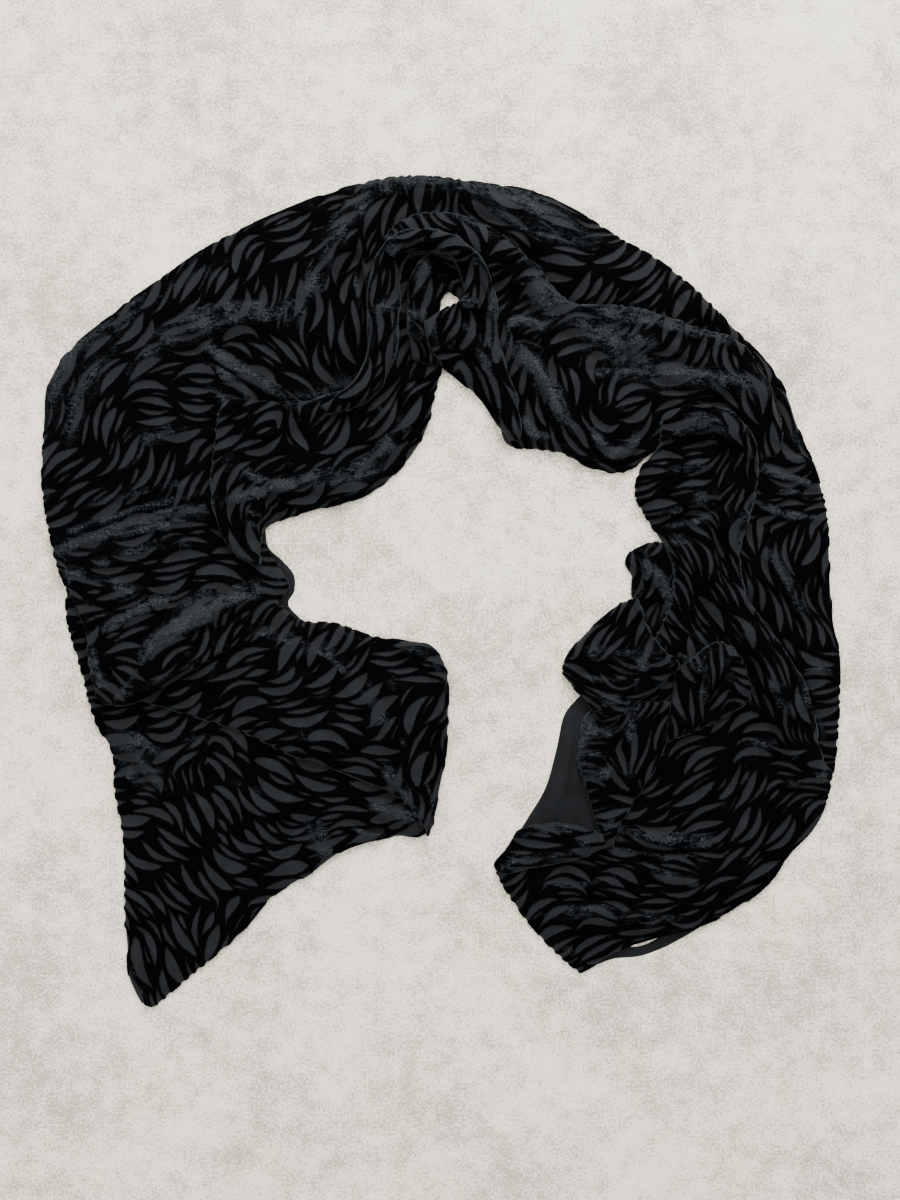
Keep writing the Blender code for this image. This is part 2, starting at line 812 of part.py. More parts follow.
def lay(stretch, table, root):
    """Lays one stretch on what is there, and makes its nodes."""
    grid = plan_of(stretch)
    place = grid[0]
    flat = place.reshape(-1, 2)
    triangles = triangles_of(stretch.rows, stretch.columns)
    covered = table.cover(flat, triangles)
    lift = lifted(stretch, grid)
    if stretch.solid:
        bottom = np.zeros(lift.size)
        top = CLOTH + lift.ravel()
    else:
        bottom = settled(grid, lift, table, covered, triangles)
        top = bottom + upright_wall(place, bottom, stretch.wall)
    table.add(flat, top, triangles, covered)
    lower = np.dstack([place, bottom.reshape(place.shape[:2])])
    upper = np.dstack([place, top.reshape(place.shape[:2])])
    for name, (first, last) in zip(stretch.names, cut_rows(stretch), strict=True):
        lower_part = trimmed(lower, first, last)
        upper_part = trimmed(upper, first, last)
        place_object(name, lower_part, upper_part, stretch.wall == LINING, root)


def main():
    for thing in list(bpy.data.objects):
        bpy.data.objects.remove(thing, do_unlink=True)
    collection = bpy.data.collections.new("velvet_scarf")
    bpy.context.scene.collection.children.link(collection)
    root = bpy.data.objects.new("velvet_scarf", None)
    collection.objects.link(root)
    table = HeightMap()
    for stretch in LAYERS:
        lay(stretch, table, root)


main()
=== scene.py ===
"""The looks of a velvet scarf that was dropped on a table in an open horseshoe.

Each stretch of cloth is a thin closed shell, lofted through the same cross sections as its solid
and laid over what lies below it. Tables are in millimetres, seen from above: X to the right, Y
away from the viewer. Meshes are in metres.
"""

import math
from collections import namedtuple

import bpy
import numpy as np
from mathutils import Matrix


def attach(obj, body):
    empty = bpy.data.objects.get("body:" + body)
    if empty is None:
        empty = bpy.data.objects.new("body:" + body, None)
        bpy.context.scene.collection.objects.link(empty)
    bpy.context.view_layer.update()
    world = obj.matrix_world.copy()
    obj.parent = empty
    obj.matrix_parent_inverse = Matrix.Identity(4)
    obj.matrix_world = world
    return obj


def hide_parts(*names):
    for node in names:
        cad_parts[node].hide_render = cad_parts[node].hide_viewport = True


bl_info = {
    "name": "Velvet scarf",
    "version": (1, 0, 0),
    "blender": (4, 5, 0),
    "location": "View3D > Sidebar > Scarf",
    "description": "Lays out a burnt-out velvet scarf, stretch by stretch",
    "category": "Add Mesh",
}

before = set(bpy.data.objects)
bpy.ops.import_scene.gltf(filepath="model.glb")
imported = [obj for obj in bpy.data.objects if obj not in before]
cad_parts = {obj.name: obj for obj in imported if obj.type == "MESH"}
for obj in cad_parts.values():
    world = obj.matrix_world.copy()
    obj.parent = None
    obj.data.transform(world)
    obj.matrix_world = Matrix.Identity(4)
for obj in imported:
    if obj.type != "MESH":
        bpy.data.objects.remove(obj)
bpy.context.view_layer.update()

MM = 0.001

# How the cloth lies, in millimetres where nothing else is said
EDGE_BAND = 7.0  # least width over which an edge turns down
EDGE_ROUND = 1.3  # that width as a share of the edge's radius, where that is more
END_RADIUS = 1.0  # of a turned end
SETTLE = 16.0  # distance from an edge over which cloth comes to bridge the steps below it
BRIDGE = 3  # reach of that bridging, in cells of the height map
GROWN = 2  # cells by which the map is widened before it is bridged
SOFT_PASSES = 3  # how often a map is averaged where its steps are spread
LAYER_GAP = 0.4  # between a layer and the one that it lies on
SEAM_GAP = 0.02  # taken off each end where a stretch is cut
TABLE_REACH = 350.0  # half the side of the mapped square
CELL = 1.0
HOLLOW_REACHES = (3, 10)  # cells over which a hollow is judged, near by and further off
CURVE_STEPS = 40  # points along the line of a fold or a sheen
CURVE_END = 0.02  # share of a fold's line at which its fade stops
WAVES = ((70, 0.7), (47, 0.5), (31, 0.35), (22, 0.25), (15, 0.15))  # lengths and heights
WAVES_EACH = 3  # waves of each length, each with its own direction
RIPPLE = 0.6  # share of the waves' heights that is used

# The mesh
UNDERSIDE_STRIDE = 3  # the underside's grid has one place for this many on top
USUAL_WIDTH = 85  # percentile of a stretch's width that sets its columns
EDGE_CROWDING = 0.05  # how much closer columns lie at the edges
QUARTER_CROWDING = 0.06  # and a quarter of the way in
LAST_CELL = 1.001  # keeps a reading inside a grid's last cell
TINY = 1e-9

# The wall: thinner where an edge is turned
EDGE_THIN = 2.4  # width over which the wall comes to its thickness
EDGE_SHARE = 0.3  # how thick it is at the very edge
STEEPEST = 0.2  # least upright part of a slope's normal that is reckoned with
THICKEST = 1.8  # how much higher than its thickness a steep wall may stand

# The pattern
STEPS = 11  # points along a stroke
PATTERN_CELL = 0.6  # of the map that strokes are drawn on
PATTERN_MARGIN = 8  # how far that map reaches beyond the cloth
DEEPEST_PILE = -4.0  # what the stroke depth is far from any stroke
STROKE_CLEAR = 1.8  # least pile between two strokes
FLOW_BLEND = 14.0  # distance over which one direction turns into the next
OVERHANG = 0.06  # how far beyond the edges strokes are tried, as a share of the width
SHORTEST = 0.7  # shares of the longest and broadest stroke of a round
SLIMMEST = 0.35
LEANS = (0.6, 1.6)  # where along a stroke it is broadest: below 1 nearer its start
BENDS = (0.008, 0.036)  # how much strokes curve, per millimetre
SWAYS = ((21, 1.7, 34), (17, 1.3, 41))  # how the side to which they curve changes over the cloth
SWAY_NOISE = 0.4
PILE_FOOT = 0.7  # the pile falls off this far on each side of a stroke's edge

# The painted sheen on the pile, from 0 to 1
SKIRT = (1.9, 0.40)  # a sheen's soft outer part: its share of the width, and its strength
RIDGE = (0.5, 0.4)  # its bright middle, likewise
CREST_REACH = 5  # cells over which a crest stands out, for its painted highlight
CREST_HEIGHT = 1.3
CREST_FLOOR = 0.25
CREST_MOST = 0.6
FLANK = 0.36  # painted sheen on a slope that faces the window
FLANK_STARTS = 0.14
FLANK_RANGE = 0.3
INNER_FADE = 6  # distance from an edge over which crests and flanks come in
INNER_START = 0.4
INNER_LEAST = 0.15
HAIRLINE = 0.9  # painted highlight along an edge that lies on cloth
HAIRLINE_WIDTH = 1.1
ON_CLOTH = (1, 2)  # an edge counts as on cloth above the first height, in full this much higher

# A cross section runs from point a to point b and rises between them. A bow pushes it sideways.
Section = namedtuple("Section", "a_x a_y b_x b_y rise bow", defaults=(0,))

# A fold or a painted sheen: a line through three points, its height or strength, half its width.
Curve = namedtuple("Curve", "x0 y0 x1 y1 x2 y2 height half_width")

# The direction in which the strokes run round a place.
Flow = namedtuple("Flow", "x y degrees")

# A stretch of cloth, and the solids that it stands for, in order. Its two edges roll up as high as
# roll_a and roll_b. Cuts part its solids, as shares of its length. A bow is largest at bow_peak, a
# share of the way across, and its strokes are broad times as broad as usual.
Stretch = namedtuple(
    "Stretch",
    "names sections roll_a roll_b folds sheens flows cuts bow_peak broad lining",
    defaults=((), (), (), (), 0.5, 1.0, False),
)


def stretch_from(sections, folds=(), sheens=(), flows=(), **rest):
    """A stretch of cloth from plain rows of numbers."""
    return Stretch(
        sections=[Section(*row) for row in sections],
        folds=[Curve(*row) for row in folds],
        sheens=[Curve(*row) for row in sheens],
        flows=[Flow(*row) for row in flows],
        **rest,
    )


LINING_LEFT = stretch_from(
    names=["lining_left"],
    sections=[
        (-148, 58, -140, 50, 0), (-146, 38, -137, 35, 0), (-142, 27, -127, 26, 0),
        (-136, 14, -117, 13, 1), (-136, 3, -117, 1, 1), (-140, -8, -122, -9, 1),
        (-144, -18, -112, -21, 0), (-144, -27, -106, -28, 0),
    ],
    roll_a=0, roll_b=0,
    lining=True,
)

LINING_END = stretch_from(
    names=["lining_end"],
    sections=[
        (124, -298, 130, -288, 0), (138, -293, 142, -284, 0), (158, -291, 159, -283, 0),
        (176, -285, 173, -277, 0), (192, -277, 188, -266, 0), (204, -270, 201, -263, 0),
    ],
    roll_a=0, roll_b=0,
    lining=True,
)

LINING_RIGHT = stretch_from(
    names=["lining_right"],
    sections=[
        (112, -82, 136, -86, 1), (100, -96, 136, -106, 1), (93, -124, 132, -130, 2),
        (84, -156, 132, -158, 2), (70, -180, 132, -186, 1), (60, -196, 128, -202, 1),
    ],
    roll_a=0.5, roll_b=0.5,
    folds=[(104, -100, 100, -140, 88, -180, 2.5, 7), (116, -98, 110, -130, 106, -176, 2, 5)],
    lining=True,
)

LEFT_END_LOWER = stretch_from(
    names=["left_end_lower"],
    sections=[
        (-297, 16, -90, -50, 1), (-299, -14, -56, -86, 2), (-287, -62, -12, -150, 2),
        (-275, -104, -10, -192, 3), (-262, -128, -40, -195, 3), (-260, -158, -72, -203, 4),
        (-253, -198, -104, -224, 5), (-252, -230, -136, -244, 4), (-252, -258, -160, -272, 3),
        (-250, -286, -188, -296, 2), (-248, -308, -212, -316, 1), (-239, -328, -229, -331, 0),
    ],
    roll_a=0.5, roll_b=1.5,
    folds=[
        (-256, -112, -232, -134, -216, -160, 4, 12), (-270, -132, -252, -142, -238, -158, 2, 6),
        (-248, -116, -226, -128, -206, -130, 2, 6), (-200, -140, -150, -165, -90, -176, 3, 14),
        (-98, -178, -92, -198, -94, -216, 4, 11), (-60, -168, -36, -176, -14, -186, 4, 10),
        (-72, -184, -52, -190, -30, -190, -3, 5), (-236, -190, -210, -230, -206, -280, 2.5, 14),
        (-170, -180, -160, -215, -170, -250, 2.5, 14), (-244, -250, -240, -280, -236, -320, 2, 5),
    ],
    sheens=[
        (-272, -114, -244, -130, -220, -158, 0.9, 13), (-212, -126, -192, -116, -152, -122, 0.4, 6),
        (-246, -294, -240, -314, -232, -326, 0.5, 6), (-76, -202, -112, -228, -136, -242, 0.3, 5),
        (-108, -180, -100, -194, -92, -214, 0.6, 8), (-60, -170, -40, -174, -20, -184, 0.5, 7),
    ],
    flows=[
        (-232, -118, 10), (-200, -122, 40), (-160, -134, -40), (-112, -158, -22), (-64, -158, -8),
        (-88, -190, 15), (-176, -174, -55), (-144, -190, -45), (-200, -158, -75), (-240, -182, -6),
        (-232, -214, -30), (-192, -230, -52), (-152, -214, -18), (-232, -246, -38),
        (-216, -278, -60), (-236, -294, -72), (-176, -262, 60), (-112, -214, 22), (-40, -182, 30),
    ],
    broad=1.3,
)

LEFT_END_UPPER = stretch_from(
    names=["left_end_upper"],
    sections=[
        (-256, -86, -192, -6, 2), (-232, -88, -136, -6, 3), (-200, -97, -112, -22, 4),
        (-156, -111, -84, -25, 4), (-120, -128, -55, -35, 4), (-84, -140, -28, -39, 4),
        (-52, -153, -7, -44, 3), (-31, -164, 4, -60, 3), (-20, -176, 6, -94, 2),
        (-12, -188, 2, -142, 1), (-10, -193, -4, -171, 0),
    ],
    roll_a=1.5, roll_b=2.5,
    folds=[
        (-140, -60, -90, -80, -40, -78, 2.5, 16), (-60, -50, -30, -90, -26, -150, 2.5, 13),
        (-150, -90, -110, -112, -66, -128, 2, 10), (-50, -136, -30, -156, -16, -182, 2.5, 7),
        (-36, -44, -6, -60, 0, -100, 2, 7),
    ],
    sheens=[
        (-232, -89, -128, -128, -14, -187, 0.5, 4), (-32, -38, 0, -50, 4, -78, 0.4, 6),
        (-48, -142, -24, -166, -16, -186, 0.6, 8),
    ],
    flows=[
        (-112, -42, 65), (-72, -46, 55), (-32, -50, 5), (-8, -58, -25), (-152, -62, 15),
        (-112, -86, 12), (-72, -114, -20), (-32, -102, 65), (-12, -150, 72), (-168, -86, 25),
        (-56, -134, -5), (-144, -22, 50), (-16, -86, 60),
    ],
    broad=1.15,
)

OUTER_BAND = stretch_from(
    names=["outer_left", "outer_top", "outer_right"],
    sections=[
        (-275, -76, -152, -38, 2, 20), (-280, -50, -135, -16, 4, 9), (-282, -28, -126, -4, 5, 3),
        (-293, -4, -121, 6, 5), (-304, 16, -129, 21, 4), (-310, 38, -139, 36, 4),
        (-315, 62, -143, 54, 4), (-318, 94, -143, 82, 4), (-316, 134, -143, 114, 4),
        (-312, 166, -128, 128, 4), (-295, 194, -106, 140, 5), (-264, 220, -82, 148, 5),
        (-232, 244, -58, 160, 6), (-192, 272, -40, 176, 6), (-152, 293, -22, 197, 6),
        (-112, 310, -15, 222, 6), (-72, 324, -12, 242, 6), (-32, 331, -8, 256, 5),
        (-8, 331, 3, 261, 5), (32, 326, 24, 260, 5), (72, 320, 56, 246, 5), (108, 304, 84, 226, 5),
        (144, 282, 116, 206, 5), (176, 263, 148, 198, 4), (208, 237, 180, 192, 3),
        (236, 208, 212, 180, 3), (256, 188, 226, 158, 3), (272, 166, 224, 130, 3),
        (286, 130, 236, 98, 4), (300, 94, 236, 66, 4), (308, 62, 230, 34, 4), (310, 22, 228, 2, 4),
        (312, -14, 236, -26, 4), (317, -46, 252, -54, 4), (318, -86, 268, -86, 3),
        (316, -118, 274, -118, 2), (313, -144, 276, -154, 1),
    ],
    roll_a=3, roll_b=1.5,
    cuts=(0.47, 0.71),
    bow_peak=0.2,
    folds=[
        (-32, 324, -76, 282, -112, 214, 6, 18), (-112, 214, -184, 212, -244, 178, 5, 16),
        (-192, 198, -156, 174, -124, 156, 4, 7), (-66, 268, -62, 246, -59, 226, -4, 5),
        (-188, 178, -166, 168, -150, 150, 3, 6), (-296, 190, -300, 150, -296, 90, 3, 14),
        (-240, 110, -220, 130, -190, 120, 2.5, 14), (-312, 28, -240, 56, -182, 68, 3, 6),
        (-304, 44, -246, 62, -186, 78, 2.5, 5), (-280, 40, -230, 50, -196, 56, 2, 4),
        (-290, 10, -230, 34, -170, 36, 2, 8), (-300, 62, -250, 76, -190, 88, 1.5, 5),
        (-232, -50, -192, -22, -140, 2, 7, 12), (-280, -24, -230, -4, -204, -18, -2.5, 7),
        (-276, -36, -232, -14, -206, -4, 3, 6), (-278, -30, -276, -52, -262, -80, 3, 7),
        (-36, 322, 32, 312, 120, 274, 5, 15), (40, 300, 90, 270, 130, 240, 3, 14),
        (-70, 318, 0, 326, 90, 312, 2, 7), (160, 262, 200, 232, 236, 200, 2, 8),
        (256, 42, 276, 6, 300, -38, 4, 9), (262, 100, 280, 60, 286, 20, 3, 10),
        (286, -40, 298, -80, 296, -120, 3, 10), (250, 98, 276, 90, 302, 82, 2, 4.5),
        (248, 74, 272, 62, 304, 58, 2, 4.5), (256, 86, 280, 78, 300, 70, 1.5, 4),
        (262, 112, 280, 106, 292, 108, 1.5, 4), (280, -66, 300, -62, 314, -68, 1.5, 4),
    ],
    sheens=[
        (-72, 320, -8, 325, 96, 310, 0.8, 8), (36, 314, 76, 304, 122, 280, 0.75, 10),
        (24, 313, 66, 288, 122, 275, 0.8, 5), (-38, 321, -78, 284, -104, 240, 0.75, 4),
        (-96, 252, -106, 236, -124, 222, 0.7, 8), (-112, 214, -184, 212, -248, 174, 0.7, 10),
        (-314, 128, -306, 180, -242, 222, 0.9, 10), (-292, 112, -286, 158, -256, 192, 0.75, 12),
        (-264, 204, -216, 240, -160, 268, 0.5, 7), (-312, 28, -248, 50, -180, 64, 0.7, 9),
        (-280, 2, -272, 14, -248, 22, 0.4, 8), (-232, -50, -192, -22, -138, 2, 0.8, 7),
        (-280, -38, -276, -58, -256, -78, 0.6, 7), (-240, 118, -224, 124, -194, 130, 0.6, 7),
        (-192, 198, -156, 174, -124, 156, 0.6, 5), (-52, 182, -88, 162, -124, 156, 0.7, 8),
        (-188, 166, -172, 154, -160, 146, 0.6, 6), (256, 170, 276, 138, 288, 106, 0.35, 7),
        (250, 98, 276, 90, 300, 82, 0.3, 4), (248, 74, 272, 62, 302, 58, 0.3, 4),
        (256, 38, 276, 2, 297, -38, 0.5, 6), (288, -78, 300, -102, 308, -134, 0.35, 6),
    ],
    flows=[
        (-304, 154, 72), (-272, 130, 80), (-292, 82, 30), (-264, 70, 35), (-232, 154, -12),
        (-220, 128, 5), (-232, 98, 70), (-200, 98, 72), (-192, 138, -8), (-248, 170, 50),
        (-264, 194, 45), (-224, 226, 62), (-168, 258, 68), (-180, 210, 12), (-128, 282, 25),
        (-136, 234, 78), (-88, 302, 22), (-96, 234, 80), (-76, 194, -78), (-56, 258, 65),
        (-152, 178, -32), (-120, 158, -35), (-208, 194, 15), (-248, 50, 12), (-288, 26, -15),
        (-192, 50, 8), (-232, 14, 12), (-168, 14, -10), (-136, 10, -12), (-256, -22, 25),
        (-216, -10, 15), (-216, -46, 35), (-256, -70, -30), (-176, -30, 68), (-144, -14, 40),
        (-32, 310, 75), (0, 314, 80), (32, 302, -35), (72, 286, -32), (104, 270, -12),
        (120, 250, 55), (152, 266, 35), (160, 242, 42), (192, 226, 60), (216, 214, 72),
        (240, 194, -65), (264, 162, -68), (272, 122, -60), (264, 98, 5), (280, 74, 8),
        (296, 34, 60), (272, 26, -78), (288, -22, -72), (280, -46, -60), (308, -70, 15),
        (308, -118, 8),
    ],
)

LEFT_LOBE = stretch_from(
    names=["left_lobe"],
    sections=[
        (-48, 224, -14, 218, 1), (-52, 198, 0, 184, 2), (-68, 166, -5, 158, 4),
        (-96, 154, -11, 132, 5), (-124, 150, -28, 104, 5), (-152, 152, -60, 78, 5),
        (-173, 148, -104, 65, 5), (-179, 114, -130, 57, 4), (-181, 78, -140, 50, 3),
        (-175, 50, -143, 38, 2), (-160, 28, -143, 21, 1),
    ],
    roll_a=2.5, roll_b=3,
    folds=[
        (-52, 178, -92, 160, -132, 140, 4, 11), (-24, 168, -30, 130, -70, 92, 3.5, 12),
        (-150, 130, -120, 110, -100, 84, 2.5, 12), (-168, 110, -164, 80, -156, 54, 2.5, 8),
        (-156, 96, -130, 84, -90, 84, 2, 6), (-60, 150, -50, 120, -80, 96, -2, 7),
        (-170, 70, -130, 82, -88, 96, 3, 6), (-160, 63, -150, 58, -142, 53, -3, 6),
    ],
    sheens=[
        (-52, 176, -88, 158, -120, 150, 0.65, 8), (-32, 130, -56, 106, -96, 90, 0.55, 9),
        (-175, 150, -181, 106, -175, 50, 0.5, 4), (-172, 74, -132, 82, -88, 96, 0.65, 6),
        (-112, 82, -72, 90, -40, 102, 0.5, 7),
    ],
    flows=[
        (-160, 130, 18), (-136, 110, 25), (-112, 126, -62), (-88, 130, 60), (-104, 98, 35),
        (-128, 74, 40), (-72, 174, 30), (-80, 154, 20), (-32, 166, 42), (-48, 138, 60),
        (-32, 122, 50), (-72, 90, 15), (-164, 74, 70), (-160, 42, -50),
    ],
)

TOP_FOLD = stretch_from(
    names=["top_fold", "right_shoulder"],
    sections=[
        (-44, 280, -39, 264, 1), (-32, 292, -28, 274, 2), (-8, 300, -4, 272, 3),
        (16, 297, 20, 264, 4), (40, 287, 38, 236, 5), (60, 272, 38, 196, 5), (80, 254, 46, 154, 5),
        (94, 236, 54, 118, 5), (108, 228, 76, 115, 5), (128, 227, 96, 112, 5),
        (156, 225, 120, 100, 5), (180, 218, 144, 96, 5), (208, 208, 164, 108, 4),
        (236, 199, 180, 122, 4), (249, 184, 200, 130, 3), (264, 154, 220, 130, 3),
        (270, 130, 236, 118, 2), (268, 110, 248, 102, 1),
    ],
    roll_a=2.5, roll_b=3,
    cuts=(0.62,),
    folds=[
        (56, 194, 80, 170, 104, 130, 5, 10), (60, 262, 78, 232, 84, 196, 3, 10),
        (120, 134, 140, 110, 160, 134, 3.5, 6), (112, 136, 140, 100, 168, 136, -2, 5),
        (66, 150, 72, 128, 88, 124, 3, 6), (168, 182, 200, 168, 248, 160, 4, 12),
        (108, 206, 140, 196, 176, 192, 3, 16), (54, 204, 62, 214, 86, 206, 3, 5),
        (56, 192, 66, 200, 84, 192, -2, 4), (70, 182, 84, 160, 96, 132, 2, 4),
        (110, 176, 140, 178, 170, 176, -2, 6), (128, 218, 180, 208, 236, 192, 2, 6),
        (244, 176, 258, 152, 262, 124, 2.5, 6),
    ],
    sheens=[
        (-32, 292, 8, 297, 48, 274, 0.6, 4), (64, 266, 88, 238, 108, 227, 0.8, 6),
        (128, 227, 180, 217, 248, 192, 0.8, 4), (104, 214, 136, 198, 168, 174, 1.0, 17),
        (160, 166, 208, 172, 252, 154, 0.9, 9), (58, 190, 80, 166, 102, 130, 0.9, 8),
        (64, 246, 80, 226, 104, 214, 0.7, 9), (120, 134, 140, 110, 160, 130, 0.6, 4),
        (56, 130, 68, 138, 72, 118, 0.6, 4), (52, 198, 60, 214, 84, 210, 0.6, 4),
    ],
    flows=[
        (-8, 288, -50), (24, 282, -58), (48, 262, 25), (72, 234, 28), (64, 194, 60), (96, 210, 5),
        (128, 202, 12), (120, 170, 82), (96, 154, -62), (68, 138, -75), (144, 130, 10),
        (120, 122, -50), (168, 130, 55), (168, 178, 5), (200, 194, 62), (232, 178, -65),
        (200, 158, 2), (248, 146, -70), (160, 210, 70),
    ],
)

ARCH_INNER = stretch_from(
    names=["arch_inner"],
    sections=[
        (31, 227, 18, 229, 1), (26, 248, 14, 235, 2), (17, 266, 8, 240, 3), (4, 272, 3, 239, 3),
        (-12, 265, 0, 233, 3), (-23, 252, -2, 223, 3), (-25, 230, -5, 210, 2),
        (-25, 206, -6, 194, 1), (-22, 184, -2, 181, 1),
    ],
    roll_a=2.5, roll_b=2,
    sheens=[(-22, 254, 0, 269, 20, 264, 0.7, 3), (-24, 234, -24, 210, -22, 194, 0.6, 3)],
    flows=[(8, 264, -15), (-12, 242, 65), (-12, 210, -70)],
)

ARCH = stretch_from(
    names=["neck_fold", "arch_fold"],
    sections=[
        (-94, 146, -88, 141, 0), (-76, 160, -62, 148, 2), (-63, 175, -45, 165, 3),
        (-57, 191, -36, 187, 4), (-57, 212, -33, 210, 4), (-57, 234, -32, 234, 4),
        (-55, 254, -32, 252, 4), (-47, 270, -29, 261, 3), (-32, 281, -22, 267, 3),
        (-8, 284, -6, 268, 3), (12, 279, 9, 264, 2), (27, 268, 17, 250, 2), (38, 250, 18, 231, 3),
        (44, 230, 1, 225, 4), (45, 210, -12, 210, 4), (48, 192, -5, 188, 4), (53, 175, 17, 168, 4),
        (60, 157, 33, 154, 3), (62, 144, 46, 134, 2), (64, 122, 55, 120, 1),
    ],
    roll_a=2.5, roll_b=2.5,
    cuts=(0.41,),
    folds=[(20, 216, 30, 192, 44, 158, 2.5, 8), (-6, 204, 10, 196, 30, 176, -2, 6)],
    sheens=[
        (-57, 190, -58, 240, -44, 274, 0.8, 4), (-35, 252, -34, 220, -37, 192, 0.4, 3),
        (-42, 276, 0, 283, 36, 254, 0.7, 3), (42, 242, 45, 210, 60, 154, 0.7, 3),
    ],
    flows=[
        (-44, 242, 80), (-46, 200, -85), (-64, 168, 50), (-8, 278, 10), (36, 218, 86), (8, 202, 65),
        (32, 178, -70), (56, 146, -60), (4, 186, 10),
    ],
)

RIGHT_RUFFLE = stretch_from(
    names=["right_ruffle"],
    sections=[
        (200, 38, 168, 40, 1), (201, 26, 148, 28, 3), (201, 10, 153, 13, 4), (201, -10, 154, -6, 4),
        (204, -34, 164, -26, 3), (208, -54, 176, -48, 1),
    ],
    roll_a=0.5, roll_b=2.5,
    folds=[(150, 24, 176, 4, 182, -30, 4, 8), (160, 34, 164, 16, 158, -4, 2, 4)],
    sheens=[(152, 18, 154, -6, 163, -26, 0.5, 4)],
    flows=[(176, 26, 60), (168, -6, 80), (192, -22, 45)],
    broad=0.8,
)

RIGHT_FALL = stretch_from(
    names=["right_swirl", "right_panel"],
    sections=[
        (212, 149, 200, 148, 1), (233, 138, 177, 141, 3), (248, 116, 173, 116, 5),
        (251, 100, 160, 98, 6), (249, 78, 156, 78, 6), (244, 58, 164, 61, 5), (238, 36, 177, 40, 5),
        (238, 14, 185, 18, 5), (244, -6, 182, -6, 5), (262, -32, 172, -34, 5),
        (278, -54, 158, -62, 5), (290, -78, 150, -86, 5), (297, -106, 148, -108, 4),
        (302, -130, 148, -128, 4), (311, -146, 148, -146, 4), (308, -166, 148, -166, 4),
        (296, -190, 132, -186, 4), (279, -208, 120, -196, 4), (260, -234, 104, -202, 4),
        (236, -252, 88, -206, 4), (208, -266, 72, -210, 3), (174, -274, 57, -215, 2),
        (146, -284, 52, -219, 1), (112, -304, 45, -224, 0, -6),
    ],
    roll_a=2.5, roll_b=2,
    cuts=(0.50,),
    folds=[
        (184, 122, 208, 134, 228, 112, 4, 8), (176, 96, 206, 100, 216, 118, 4, 8),
        (196, 112, 208, 118, 210, 104, -3, 6), (200, 90, 208, 42, 224, -22, 6, 11),
        (230, 96, 228, 60, 226, 30, 4, 8), (166, 62, 204, 74, 238, 96, 3, 7),
        (172, 54, 204, 62, 232, 74, -3, 6), (188, -58, 216, -74, 244, -84, -3, 6),
        (190, -50, 218, -64, 250, -76, 3, 6), (240, -20, 262, -66, 278, -110, 3.5, 12),
        (200, -120, 220, -150, 216, -190, 2.5, 16), (120, -190, 180, -197, 216, -198, 3.5, 7),
        (130, -198, 170, -206, 200, -206, -2.5, 5), (148, -212, 184, -227, 208, -227, 2.5, 7),
        (84, -258, 136, -257, 192, -268, 4, 10), (66, -232, 110, -236, 150, -226, 2.5, 7),
        (230, -130, 262, -124, 292, -134, 2, 9), (240, -196, 256, -176, 280, -166, 2, 9),
    ],
    sheens=[
        (178, 142, 212, 149, 247, 116, 0.6, 3), (250, 98, 244, 58, 239, 26, 0.5, 4),
        (184, 114, 208, 130, 220, 106, 0.4, 3), (164, 88, 204, 108, 228, 104, -0.5, 12),
        (162, 66, 200, 76, 236, 96, -0.5, 9), (236, 66, 238, 38, 240, 10, 0.6, 7),
        (240, -6, 276, -50, 296, -118, 0.55, 3.5), (189, -60, 216, -74, 244, -84, 0.6, 3),
        (120, -192, 168, -196, 216, -198, 0.18, 4), (84, -258, 136, -256, 192, -270, 0.3, 5),
        (148, -212, 184, -227, 208, -227, 0.15, 4), (176, -134, 144, -174, 133, -202, 0.5, 4),
    ],
    flows=[
        (200, 130, 12), (232, 130, -55), (192, 102, 3), (180, 74, 12), (224, 98, 60), (240, 74, 75),
        (208, 62, -20), (200, 34, -62), (224, 26, -75), (208, -6, -50), (240, -22, -55),
        (232, -54, -48), (264, -62, -62), (280, -102, -80), (224, -110, 45), (256, -118, -5),
        (192, -126, 30), (200, -158, 32), (240, -150, 62), (288, -142, -10), (280, -182, 50),
        (240, -198, 62), (168, -166, 28), (152, -198, -22), (200, -214, -18), (248, -230, 30),
        (96, -230, -8), (128, -246, -22), (96, -262, 35), (136, -278, 28), (176, -254, 5),
        (208, -246, 20), (80, -246, 50),
    ],
    broad=0.9,
)

RIGHT_FRILL = stretch_from(
    names=["right_frill"],
    sections=[
        (130, -89, 185, -86, 2), (116, -98, 184, -104, 3), (111, -116, 178, -120, 3),
        (109, -134, 172, -136, 3), (115, -152, 164, -150, 3), (120, -170, 152, -168, 2),
        (126, -190, 140, -189, 1), (128, -202, 136, -203, 0),
    ],
    roll_a=1.5, roll_b=1,
    folds=[
        (114, -108, 130, -112, 150, -110, 2.5, 7), (112, -140, 126, -144, 142, -140, 2, 7),
        (112, -124, 124, -126, 136, -124, -1.5, 5),
    ],
    sheens=[(128, -94, 114, -118, 114, -142, 0.7, 7)],
    flows=[(124, -118, 8), (152, -110, 62), (144, -142, -55), (128, -166, 15), (166, -134, 70)],
    broad=0.75,
)

RIGHT_END_FLAP = stretch_from(
    names=["right_end_flap"],
    sections=[
        (47, -225, 43, -217, 0), (60, -221, 54, -204, 1), (84, -216, 65, -188, 2),
        (104, -212, 87, -184, 3), (120, -207, 112, -187, 2), (131, -201, 128, -191, 1),
    ],
    roll_a=1.5, roll_b=2.5,
    sheens=[(48, -220, 88, -217, 126, -204, 0.6, 3), (72, -188, 96, -184, 120, -185, 0.5, 4)],
    flows=[(80, -206, -5), (116, -196, 12)],
)

